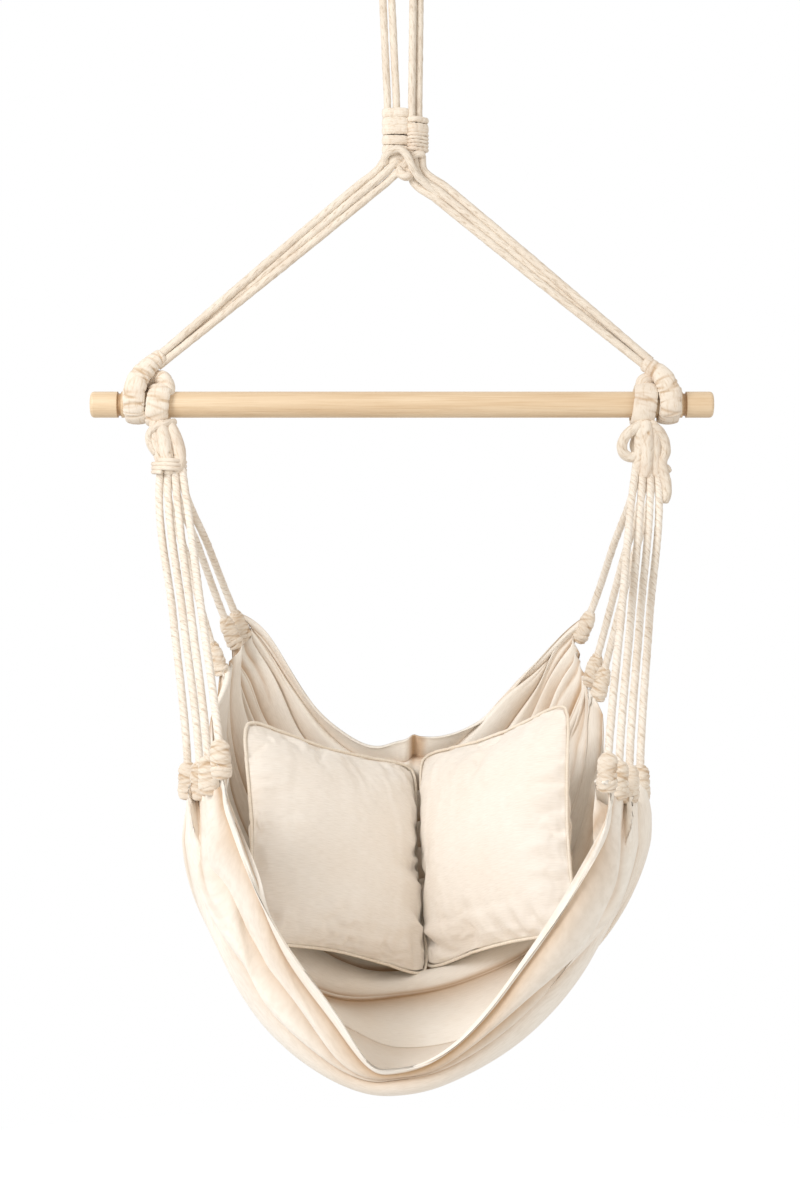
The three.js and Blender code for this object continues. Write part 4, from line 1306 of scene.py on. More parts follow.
@dataclass
class NeckTies:
    """The rope that is knotted round the necks, where the seat cords are gathered."""

    band_turns: float = 3.05
    band_radius: tuple[float, float] = (0.0258, 0.0286)
    band_pitch: float = 0.0064
    band_half: tuple[float, float] = (0.0032, 0.0035)
    band_sides: int = 14

    def build(self, finishes: Finishes) -> None:
        """Builds the left neck's loop and band, and the right neck's two loops.

        Args:
            finishes: the chair's finishes.
        """
        loop = seen([
            (176, 421.5, -0.010), (163, 424.2, -0.028), (153.2, 428.2, -0.026), (148.6, 436, -0.018),
            (151, 446.6, -0.016), (156.5, 455, -0.014)
        ])
        skin = laid_rope(loop, 0.0115, UP * 0.3 + FRONT, 0.04, 0.04, ends=(0.004, 0.005), sheath_seed=140)
        make_piece("neck_knot_left", skin, finishes.bridle, "seat", "wrap_rope", "neck_loop_left")
        centre = seen([(169.0, 466.0, 0.0)])[0]
        a = np.linspace(0, 2 * np.pi * self.band_turns, 150)
        wide, deep = self.band_radius
        fall = 0.0085 - self.band_pitch * a / (2 * np.pi)
        coil = np.stack([wide * np.cos(a - 2.2), deep * np.sin(a - 2.2), fall], -1)
        path = through(coil + centre, 0.0018)
        run = run_of(path)
        dent = creases(run, angles(self.band_sides), 141, 160, 0.0004, 0.0009)
        half_high = self.band_half[1] * rounded_ends(run, 0.003, 0.003)
        band = tube(path, UP, self.band_half[0], half_high, self.band_sides, dent=dent)
        make_piece("neck_band_turns_left", band, finishes.binding, "seat", "wrap_rope", "neck_band_left")
        inner = seen([
            (643, 424, -0.022), (636, 427.5, -0.022), (627.5, 434, -0.020), (622.4, 443, -0.016),
            (623, 452, -0.014), (629, 457, -0.012), (637, 455.5, -0.012), (642, 449, -0.016)
        ])
        behind = seen([(641, 427, -0.002), (636, 437, -0.003), (634, 446, -0.003), (637, 455, -0.003)])
        skins = [
            laid_rope(
                inner, 0.0172, UP * 0.2 + FRONT, 0.05, 0.05, sides=20, ends=(0.005, 0.005), sheath_seed=142
            ),
            laid_rope(behind, 0.0145, UP * 0.2 + FRONT, 0.05, 0.05, ends=(0.005, 0.005), sheath_seed=145),
        ]
        make_piece(
            "neck_knot_right_inner", Skin.joined(skins), finishes.bridle, "seat", "wrap_rope",
            "neck_loop_right_inner"
        )
        outer = seen([
            (650, 424, -0.022), (657, 429, -0.022), (663.2, 438, -0.018), (665.5, 452, -0.014),
            (662, 462, -0.014), (664, 473, -0.014), (666.5, 485, -0.013), (666, 496, -0.012),
            (662.5, 503, -0.012)
        ])
        nub = seen([(661, 467, -0.008), (667.5, 467.5, -0.012), (669.5, 473, -0.010)])
        skins = [
            laid_rope(
                outer, 0.0168, UP * 0.2 + FRONT, 0.05, 0.05, sides=20, ends=(0.005, 0.006), sheath_seed=143
            ),
            laid_rope(nub, 0.0095, UP, 0.05, 0.04, sides=16, ends=(0.004, 0.004), sheath_seed=144),
        ]
        make_piece(
            "neck_knot_right_outer", Skin.joined(skins), finishes.bridle, "seat", "wrap_rope",
            "neck_loop_right_outer"
        )


@dataclass
class SeatShape:
    """The seat's own surface: where its sleeves hang, and the sheet that is stretched between them.

    s runs across the sheet from -1 on the left to 1 on the right, and v along it from the back hem at 0 to
    the front hem at 1.
    """

    off_centre: float = 0.014
    forward: float = 0.0425
    half_width: float = 0.357
    back_drop: float = 0.335
    front_drop: float = 0.569
    sleeve_spread: float = 0.520
    sleeve_length: float = 0.046
    seat_depth: float = 0.550
    seat_sag: float = 0.492
    back_hem_drop: float = 0.557
    lean: float = 0.42
    middle_drift: float = 0.034
    back_reach: float = 0.33
    hem_start: float = 0.7
    hem_powers: tuple[float, float] = (1.2, 1.75)
    hem_roundness: float = 0.16
    bulges: tuple[float, float] = (0.022, 0.010)
    edge_rise: float = 0.006
    edge_inset: float = 0.005
    edge_sag: float = 0.014
    flap_deep: tuple[float, float] = (0.006, -0.013)
    flap_up: tuple[float, float] = (0.022, -0.010)
    depth_shares: tuple = (0.5, 0.413, 0.308, -0.154, -0.269, -0.385, -0.5)
    drop_shares: dict = field(
        default_factory=lambda: {
            Side.LEFT: (0, 0.042, 0.219, 1, 0.98, 0.923, 0.804),
            Side.RIGHT: (0.006, 0.311, 0.399, 1.018, 1, 0.955, 0.886),
        }
    )
    width_shares: dict = field(
        default_factory=lambda: {
            Side.LEFT: (0.834, 0.872, 0.921, 0.966, 0.899, 0.85, 0.79),
            Side.RIGHT: (0.866, 0.889, 0.909, 1, 0.936, 0.876, 0.815),
        }
    )
    middle_depth: tuple = (
        0.446, 0.481, 0.496, 0.477, 0.394, 0.24, 0.096, -0.077, -0.202, -0.356, -0.408, -0.446, -0.471, -0.49,
        -0.504
    )
    middle_drop: tuple = (
        0, 0.106, 0.234, 0.4, 0.59, 0.74, 0.815, 0.86, 0.91, 0.953, 0.966, 0.972, 0.967, 0.945, 0.89
    )

    def sleeves(self, side: Side) -> tuple[Array, Array, Array]:
        """The tops, the ways down and the bottoms of a side's sleeves, from the back to the front.

        Args:
            side: the side.

        Returns:
            The tops, the ways down and the bottoms.
        """
        drop = np.array(self.drop_shares[side])
        x = self.off_centre + side.value * self.half_width * np.array(self.width_shares[side])
        y = np.array(self.depth_shares) * self.sleeve_spread - self.forward
        z = BAR_UP - (self.back_drop + (self.front_drop - self.back_drop) * drop)
        lean = self.lean * (1 - drop)
        way = np.stack([-side.value * np.sin(lean), 0 * lean, -np.cos(lean)], -1)
        top = np.stack([x, y, z], -1)
        return top, way, top + way * self.sleeve_length

    def edge(self, side: Side, v: Array) -> Array:
        """The sheet's side edge, which sags between the sleeves and has a flap beyond the last ones.

        Args:
            side: the side.
            v: places along the sheet.

        Returns:
            The edge at each place.
        """
        _, way, bottom = self.sleeves(side)
        number = v * 7 - 0.5
        low = np.clip(np.floor(number), 0, 5).astype(int)
        share = number - low
        inside = np.clip(share, 0, 1)
        ends = bottom - way * self.edge_rise
        w = ease(ease(inside, 0, 1), 0, 1)[..., None]
        point = ends[low] * (1 - w) + ends[low + 1] * w
        point[..., 0] -= side.value * self.edge_inset
        point[..., 2] -= self.edge_sag * np.sin(np.pi * inside) ** 2
        past = np.maximum(0, np.maximum(-share, share - 1)) * 2
        point[..., 1] += np.where(v < 0.5, *self.flap_deep) * past
        point[..., 2] += np.where(v < 0.5, *self.flap_up) * past * past
        return point

    def point(self, s: Array, v: Array) -> Array:
        """The sheet without its folds.

        Each line of constant v runs from the middle line to the two edges. Across the belly it is a quarter
        of an oval, at the back it hangs in a soft S, and at the front hem it rises from a narrow rounded
        point.

        Args:
            s: places across.
            v: places along.

        Returns:
            The points.
        """
        s, v = np.broadcast_arrays(np.asarray(s, float), np.asarray(v, float))
        left = s < 0
        edge = np.where(left[..., None], self.edge(Side.LEFT, v), self.edge(Side.RIGHT, v))
        middle = np.stack(
            [
                self.off_centre - self.middle_drift * v,
                read_row(self.middle_depth, v) * self.seat_depth - self.forward,
                BAR_UP - self.back_hem_drop - read_row(self.middle_drop, v) * self.seat_sag,
            ],
            -1,
        )
        out = np.abs(s)
        back = 1 - ease(v, 0, self.back_reach)
        across = np.sin(np.pi / 2 * out) * (1 - back) + out * back
        round_rise = 1 - np.sqrt(np.maximum(0, 1 - np.minimum(1, across) ** 2))
        back_rise = np.sin(np.pi / 2 * out**1.4) ** 2
        hem = ease(v, self.hem_start, 1)
        power = np.where(left, *self.hem_powers)
        blunt = self.hem_roundness
        hem_rise = (np.hypot(across**power, blunt) - blunt) / (math.hypot(1, blunt) - blunt)
        rise = (round_rise * (1 - hem) + hem_rise * hem) * (1 - back) + back_rise * back
        bulge = np.where(left, *self.bulges) * np.sin(np.pi * out * out) * (1 - back) * (1 - hem)
        return np.stack(
            [
                middle[..., 0] + (edge[..., 0] - middle[..., 0]) * across + np.sign(s) * bulge,
                middle[..., 1] + (edge[..., 1] - middle[..., 1]) * across**2,
                middle[..., 2] + (edge[..., 2] - middle[..., 2]) * rise,
            ],
            -1,
        )


@dataclass
class SeatCords:
    """Fourteen cords from the necks to the seat's sleeves."""

    shape: SeatShape
    neck_across: dict = field(default_factory=lambda: {Side.LEFT: -0.369, Side.RIGHT: 0.394})
    spacing: float = 0.0129
    row_depth: float = 0.0082
    strand: float = 0.0126
    gathered_share: float = 0.25
    gathered_rise: float = 0.030
    straight: float = 0.012
    inside_sleeve: float = 0.010

    def build(self, finishes: Finishes) -> None:
        """Builds each cord from inside its neck, past its place in the bundle, into its sleeve.

        Args:
            finishes: the chair's finishes.
        """
        for side in Side:
            tops, ways, _ = self.shape.sleeves(side)
            for k in range(7):
                in_front = k >= 3
                number, count = (k - 3, 4) if in_front else (k, 3)
                outwards = (-1 if in_front else 1) * (number - (count - 1) / 2) * self.spacing
                deep = (-1 if in_front else 1) * self.row_depth
                root = np.array([self.neck_across[side] + side.value * outwards, deep, NECK_UP])
                line = unit(tops[k] - root)
                middle = np.array([self.neck_across[side], 0, NECK_UP])
                gathered = root + (middle - root) * self.gathered_share + UP * self.gathered_rise
                inside = tops[k] + ways[k] * self.inside_sleeve
                halfway = root + (tops[k] - root) * 0.5
                points = np.stack([
                    gathered, root + line * self.straight, halfway, tops[k] - line * self.inside_sleeve,
                    inside
                ])
                skin = laid_rope(
                    points, self.strand, FRONT, 0.06, 0.036, 18, 0.0028, sheath_seed=200 + 10 * side.value + k
                )
                name = f"{side.label}_{k + 1}"
                make_piece(
                    f"cord_strand_{name}", skin, finishes.rope, "seat", "seat_rope", f"seat_cord_{name}"
                )


@dataclass
class CordSleeves:
    """The gathered sleeves of the sheet, each bound on the end of its cord."""

    shape: SeatShape
    lip_sides: int = 10
    lip_half: tuple[float, float] = (0.0030, 0.0040)
    lip_inset: float = 0.0024
    lip_deep: float = 0.0100
    lip_places: tuple[float, float] = (0.86, 0.95)

    def sleeve(self, top: Array, way: Array, seed: int, in_front: bool) -> Skin:
        """One sleeve: cloth drawn together over the cord's loop, which opens out into the sheet below.

        Args:
            top: its upper end.
            way: its direction down.
            seed: of its creases.
            in_front: whether it is one of the front four.

        Returns:
            The sleeve with its lip.
        """
        length = self.shape.sleeve_length
        along = np.array([-0.10, 0.02, 0.22, 0.5, 0.78, 1.0, 1.22])
        points = top + way * (along * length)[:, None]
        points[:, 1] -= 0.0015 * np.sin(np.pi * along)
        wide = [0.0090, 0.0146, 0.0158, 0.0156, 0.0160, 0.0158, 0.0130]
        deep = [0.0080, 0.0108, 0.0122, 0.0124, 0.0122, 0.0114, 0.0098]
        if not in_front:
            wide = [0.0080, 0.0116, 0.0136, 0.0142, 0.0142, 0.0136, 0.0120]
        count = 56 if in_front else 64
        body = bound_tube(
            points, FRONT, wide, deep, seed, count, 0.0016, 0.0013, 36, 0.0011, (0.005, 0.004), reach=1.1,
            tilt=0.005
        )
        a = np.linspace(0, 2 * np.pi, 25)[:-1]
        side_way = unit(np.cross(way, FRONT))
        lip_middle = top + way * length * self.lip_places[0 if in_front else 1]
        lip_wide = wide[4] - self.lip_inset
        forwards = self.lip_deep * np.sin(a)[:, None] * FRONT
        ring = lip_middle + lip_wide * np.cos(a)[:, None] * side_way + forwards
        ring = ring + way * (0.0016 * np.sin(2 * a + seed))[:, None]
        lip = through(ring, 0.0018, closed=True)
        dent = creases(run_of(lip), angles(self.lip_sides), seed + 1, 30, 0.0005, 0.0012)
        cord = tube(lip, way, *self.lip_half, self.lip_sides, True, dent)
        return Skin.joined([body, cord])

    def build(self, finishes: Finishes) -> None:
        """Builds the fourteen sleeves.

        Args:
            finishes: the chair's finishes.
        """
        for side in Side:
            tops, ways, _ = self.shape.sleeves(side)
            for k in range(7):
                skin = self.sleeve(tops[k], ways[k], 300 + 20 * side.value + 3 * k, k >= 3)
                name = f"{side.label}_{k + 1}"
                make_piece(
                    f"sleeve_gather_{name}", skin, finishes.gather, "seat", "sleeve_cotton",
                    f"cord_sleeve_{name}"
                )


@dataclass
class SeatCloth:
    """The seat's sheet with its folds.

    Creases run across it from one side's sleeves to the other's. Between two creases the cloth stands up in a
    roll. The tables give each crease, from the back hem to the front hem, at thirteen places across: how far
    along the sheet it lies in thousandths, and how far it is moved across and up, in millimetres.
    """

    shape: SeatShape
    knots: tuple = (-1, -0.9, -0.75, -0.6, -0.4, -0.2, 0, 0.2, 0.4, 0.6, 0.75, 0.9, 1.0)
    crease_places: tuple = (
        (0,) * 13,
        (66, 70, 72, 68, 62, 55, 50, 45, 42, 50, 60, 75, 80),
        (105, 108, 110, 115, 120, 120, 115, 105, 100, 96, 94, 92, 92),
        (150, 155, 160, 168, 175, 175, 170, 155, 140, 128, 118, 112, 108),
        (190, 190, 195, 205, 215, 220, 210, 200, 180, 160, 145, 135, 130),
        (240, 240, 240, 250, 255, 260, 250, 240, 225, 200, 180, 165, 160),
        (286, 286, 290, 290, 300, 300, 300, 290, 275, 250, 230, 215, 210),
        (345, 340, 340, 340, 340, 340, 335, 335, 330, 320, 310, 290, 280),
        (420, 415, 410, 405, 400, 388, 370, 375, 392, 402, 403, 404, 405),
        (470, 467, 465, 462, 458, 452, 425, 425, 432, 436, 440, 445, 450),
        (515, 515, 520, 525, 535, 550, 560, 555, 545, 535, 530, 520, 515),
        (545, 550, 560, 580, 620, 680, 720, 680, 620, 580, 560, 550, 545),
        (600, 630, 690, 745, 800, 845, 875, 845, 800, 745, 690, 630, 600),
        (720, 750, 790, 825, 865, 895, 918, 895, 865, 825, 790, 750, 720),
        (857, 870, 890, 908, 930, 950, 962, 950, 930, 908, 890, 870, 857),
        (1000,) * 13,
    )
    shifts_across: tuple = (
        (-7, 0, 4, 2, 5, 2, -2, -5, -3, -4, 2, 12, 18),
        (6, 4, 1, 0, 0, 0, 0, 0, -9, -11, -2, -4, -2),
        (1, 0, -2, -5, 0, 0, 0, 0, -2, -4, -3, -11, -8),
        (-12, -3, -4, 3, 0, 0, 0, 0, 0, -2, -3, -7, -5),
        (-8, -4, 0, 6, 0, 0, 0, 0, 0, -6, -6, -6, -2),
        (0,) * 13,
        (0,) * 13,
        (0,) * 13,
        (0, 0, 0, 0, 4, 2, 0, 0, 0, 0, -1, 0, 0),
        (0, 0, 0, 0, 0, 0, 0, -2, -2, -9, -12, -8, -3),
        (0, 0, 0, 0, 4, 10, -1, 4, 0, 0, 0, 0, 0),
        (0,) * 13,
        (-6, 11, 28, 19, 3, -2, -1, -7, -12, -13, -16, -13, -7),
        (6, 22, 36, 30, 8, -3, 0, -10, -9, -12, -18, -18, -10),
        (4, 11, 10, 3, -8, 3, 0, -10, -10, 0, 4, 0, 1),
        (-1, -2, -6, -8, 1, 13, -3, -5, -10, 4, 12, 8, 5),
    )
    shifts_up: tuple = (
        (12, -2, -25, -26, -17, -7, 15, 11, 4, -3, -12, -1, 13),
        (9, 4, 1, 0, 1, 0, 5, 5, 10, 12, 3, 4, 6),
        (1, 0, -1, -2, 2, 0, 0, 0, 2, 3, 2, 10, 11),
        (-9, -1, -1, 5, 0, 0, 0, 0, 0, 1, 2, 4, 6),
        (-10, -2, 0, 8, 0, 0, 0, 0, 0, 8, 3, 5, 2),
        (0,) * 13,
        (0,) * 13,
        (0,) * 13,
        (0, 0, 0, 0, 3, 5, 6, 2, 0, 0, 0, 0, 0),
        (0, 0, 0, 0, 0, -3, 1, 5, 4, 5, 5, 3, -4),
        (0, 0, 0, 0, 3, 9, -4, -6, 0, 0, 0, 0, 0),
        (0,) * 13,
        (-1, 4, 8, 7, -1, -4, 12, 18, 14, 7, 8, 2, 2),
        (2, 6, 20, 14, 3, -2, 12, 19, 14, 6, 8, 6, 3),
        (1, 4, 5, 0, -5, 2, 0, 15, 11, 0, -2, 0, 0),
        (0, 0, -2, -4, 1, 8, -2, 7, 5, -3, -7, -2, -7),
    )
    roll_steps: int = 22
    steps_across: int = 146
    thickness: float = 0.0017
    inner_heights: tuple = (11, 18, 20, 20, 19, 17, 15, 13, 33, 9, 8, 8, -19, -24, -19)
    outer_heights: tuple = (-9, -12, -13, -13, -12, -9, -2, 1, -19, 2, 0, 12, 29, 33, 23)
    leans: tuple = (
        0.05, -0.28, -0.36, -0.38, -0.36, -0.3, -0.2, -0.1, 0.36, 0.4, 0.1, -0.1, -0.42, -0.5, -0.3
    )
    # Strength of the painted shade over each roll's recess, from the back hem to the front hem.
    recess_depths: tuple = (0.4, 0.7, 0.75, 0.8, 0.7, 0.6, 0.5, 0.3, 0.1, 0.9, 0.5, 0.8, 0.95, 0.95, 0.1)
    flat: tuple = (1.26, 1.26)
    highest_share: float = 0.42
    held_share: float = 0.85
    gather_deep: float = 0.0068
    gather_wide: float = 0.0018
    # Painted shade: how far it reaches from each crease, and how fast it fades from the next crease where the
    # next roll leans back over this one, and from the last crease otherwise.
    dark_line: float = 0.0036
    recess_near: float = 0.0125
    recess_far: float = 0.035
    hem_swell: float = 0.0022
    pinch_across: float = 0.0215
    pinch_width: float = 0.007
    flap_place: float = 0.016
    flap_width: float = 0.013

    def table(self, rows: tuple, s: Array) -> Array:
        """Reads each row of a table at places across, by the smooth curve through its values.

        Args:
            rows: the table.
            s: places across.

        Returns:
            A column of values for each row, one line for each place.
        """
        k = np.asarray(self.knots, float)
        values = np.asarray(rows, float).T
        slope = np.gradient(values, k, axis=0)
        n = np.clip(np.searchsorted(k, s, side="right") - 1, 0, len(k) - 2)
        h = (k[n + 1] - k[n])[:, None]
        w = (s - k[n])[:, None] / h
        read = (2 * w**3 - 3 * w**2 + 1) * values[n] + (w**3 - 2 * w**2 + w) * h * slope[n]
        return read + (3 * w**2 - 2 * w**3) * values[n + 1] + (w**3 - w**2) * h * slope[n + 1]

    def grid(self) -> tuple[Array, Array, Array]:
        """The sheet's middle surface before its rolls, and where each of its rows lies among the creases.

        Returns:
            The surface, the place of each row among the creases, and the places across.
        """
        s = np.linspace(-1, 1, self.steps_across + 1)
        places = self.table(self.crease_places, s) / 1000
        across = self.table(self.shifts_across, s) / 1000
        up = self.table(self.shifts_up, s) / 1000
        rolls = places.shape[1] - 1
        tau = np.arange(self.roll_steps) / self.roll_steps
        t = 0.65 * (1 - np.cos(np.pi * tau)) / 2 + 0.35 * tau
        w = np.append((np.arange(rolls)[:, None] + t[None]).ravel(), rolls)
        even = w / rolls
        v = np.clip(read_row(places.T, even), 0, 1)
        v = np.maximum.accumulate(v, axis=0)
        base = self.shape.point(np.broadcast_to(s, v.shape), v)
        base[..., 0] += read_row(across.T, even)
        base[..., 2] += read_row(up.T, even)
        return base, w, s

    def shell(self, rows: int, columns: int) -> Array:
        """The faces of two grids of points, the second below the first, joined all round by a rim.

        Args:
            rows: of each grid.
            columns: of each grid.

        Returns:
            The faces of four corners.
        """
        j, i = np.meshgrid(np.arange(rows - 1), np.arange(columns - 1), indexing="ij")
        a, b = (j * columns + i).ravel(), (j * columns + i + 1).ravel()
        c, d = a + columns, b + columns
        below = rows * columns
        top = np.stack([a, b, d, c], -1)
        bottom = np.stack([a, c, d, b], -1) + below
        rim = np.concatenate([
            np.arange(columns - 1),
            np.arange(rows - 1) * columns + columns - 1,
            (rows - 1) * columns + np.arange(columns - 1, 0, -1),
            np.arange(rows - 1, 0, -1) * columns,
        ])
        after = np.roll(rim, -1)
        wall = np.stack([rim, rim + below, after + below, after], -1)
        return np.concatenate([top, bottom, wall])

    def build(self, finishes: Finishes) -> None:
        """Between two creases a roll's height is H * (1 - (2t - 1)^2)^0.6 with t across it, H at most a share of
        its width, which drops near the sleeves, and waving along it, and its crest leans over towards one
        crease. Where H is negative, that side follows the other one's roll as a dip. Near the sleeves each
        roll breaks up into fine gathers. Painted shade darkens the cloth along each crease, over the recess
        beside a leaning roll, between the fine gathers and at the pinch by the front hem.

        Args:
            finishes: the chair's finishes.
        """
        base, w, s = self.grid()
        along = unit(np.gradient(base, axis=0))
        across = unit(np.gradient(base, axis=1))
        normal = unit(np.cross(along, across))
        rolls = len(self.inner_heights)
        number = np.minimum(np.floor(w).astype(int), rolls - 1)
        t = w - number
        crest = np.where(number == 0, 0.5 + 0.5 * t, np.where(number == rolls - 1, 0.5 * t, t))
        profile = np.maximum(0, 1 - (2 * crest - 1) ** 2) ** 0.6
        marks = np.arange(rolls + 1) * self.roll_steps
        width = np.linalg.norm(np.diff(base[marks], axis=0), axis=-1)[number]
        out = np.abs(s)[None, :]
        uneven = 1 + 0.22 * np.sin(3.1 * s + 1.9 * number[:, None]) + 0.14 * np.sin(
            7.3 * s + 4.1 * number[:, None]
        )
        held = 1 - self.held_share * ease(out, 0.74, 1)
        cap = self.highest_share * width * held
        inner = np.clip(
            np.array(self.inner_heights)[number][:, None] / 1000 * uneven, -cap, cap
        ) * profile[:, None]
        outer = np.clip(
            np.array(self.outer_heights)[number][:, None] / 1000 * uneven, -cap, cap
        ) * profile[:, None]
        ripple = np.abs(
            np.sin(np.pi * (1.5 * w[:, None] + 0.9 * np.sin(5 * s + number[:, None]) * (1 - out)))
        ) ** 0.8
        gather = self.gather_deep * ease(out, 0.6, 1.0) + self.gather_wide * ease(out, 0.2, 0.8)
        fine = gather * ripple * np.minimum(1, width / 0.03) * profile[:, None]
        lean = np.array(self.leans)[number][:, None] * np.minimum(width, 0.075) * profile[:, None]
        to_last = np.where(number > 0, t, 1.0)[:, None] * width
        to_next = np.where(number < rolls - 1, 1 - t, 1.0)[:, None] * width
        near = np.minimum(to_last, to_next)
        # Painted shade: dark along each crease, over each roll's recess, and between the fine gathers near the
        # sleeves.
        leans_back = np.append(np.array(self.leans)[1:] < -0.15, False)[number][:, None]
        recess_shade = np.where(leans_back, np.exp(-to_next / self.recess_near), np.exp(-to_last / self.recess_far))
        recess_shade = recess_shade * np.array(self.recess_depths)[number][:, None] * (1 - 0.8 * ease(out, 0.76, 0.96))
        hollow = np.maximum(np.exp(-((near / self.dark_line) ** 2)), recess_shade) * (
            0.85 + 0.15 * np.sin(5.3 * s + number[:, None])
        )
        hollow = np.maximum(hollow, (1 - ripple) ** 2 * gather / self.gather_deep * 0.7)
        hem_place = np.minimum(w, rolls - w)[:, None]
        hem = self.hem_swell * np.exp(-((hem_place / 0.16) ** 2))
        half = self.thickness / 2 + hem
        from_pinch = base[..., 0] - self.pinch_across
        at_hem = 1 - ease(w, 0.9, 1.7)[:, None]
        pinch = np.exp(-((from_pinch / self.pinch_width) ** 2)) * at_hem
        flap = np.exp(-(((from_pinch + self.flap_place) / self.flap_width) ** 2))
        inner = inner + 0.012 * flap * at_hem - 0.014 * pinch
        outer = outer - 0.010 * flap * at_hem + 0.013 * pinch
        # Painted shade over the pinch at the front hem and just to its right.
        hollow = np.maximum(
            hollow,
            np.maximum(pinch, 0.8 * ease(from_pinch, 0, 0.006) * (1 - ease(from_pinch, 0.01, 0.028)) * at_hem)
        )
        middle = base + along * lean[..., None]
        facing = np.where(
            np.array(self.inner_heights) > np.array(self.outer_heights), 1.0, -1.0
        )[number][:, None]
        inside = middle + normal * (inner + half + facing * fine)[..., None]
        outside = middle - normal * (outer + half - facing * fine)[..., None]
        rows, columns = inside.shape[:2]
        points = np.concatenate([inside.reshape(-1, 3), outside.reshape(-1, 3)])
        run = run_of(base[:, columns // 2])
        wide = run_of(base[rows // 2])
        place = np.stack(np.broadcast_arrays(wide[None, :], run[:, None]), -1).reshape(-1, 2)
        faces = self.shell(rows, columns)
        skin = Skin(points, [faces], [place[faces % (rows * columns)]], np.tile(hollow.ravel(), 2))
        seat = make_piece("seat_cloth_folds", skin, finishes.canvas, "seat", "seat_canvas", "seat_sheet")


# Each pleat: its start across and up in halves of the pillow, its angle in degrees, its length and its depth
LEFT_PLEATS = (
    (0.98, 0.13, 196, 0.50, 0.0055), (0.98, -0.03, 188, 0.70, 0.0065), (0.98, -0.17, 172, 0.45, 0.0055),
    (0.96, -0.60, 152, 0.50, 0.0050), (0.84, -0.94, 118, 0.40, 0.0045), (-0.98, 0.42, -10, 0.34, 0.0050),
    (-0.98, 0.29, 3, 0.44, 0.0055), (-0.97, 0.17, 14, 0.26, 0.0045), (-0.58, 0.96, -66, 0.36, 0.0045),
    (-0.15, 0.95, -84, 0.30, 0.0035), (0.62, 0.96, -118, 0.34, 0.0040),
)
RIGHT_PLEATS = (
    (0.98, 0.50, 190, 0.34, 0.0050), (0.98, 0.27, 176, 0.46, 0.0060), (0.98, 0.06, 184, 0.34, 0.0050),
    (0.98, -0.18, 172, 0.50, 0.0060), (0.96, -0.44, 160, 0.40, 0.0050), (0.66, -0.96, 112, 0.42, 0.0050),
    (0.42, -0.97, 98, 0.36, 0.0045), (0.16, -0.97, 88, 0.28, 0.0040), (-0.97, -0.70, -30, 0.80, 0.0075),
)


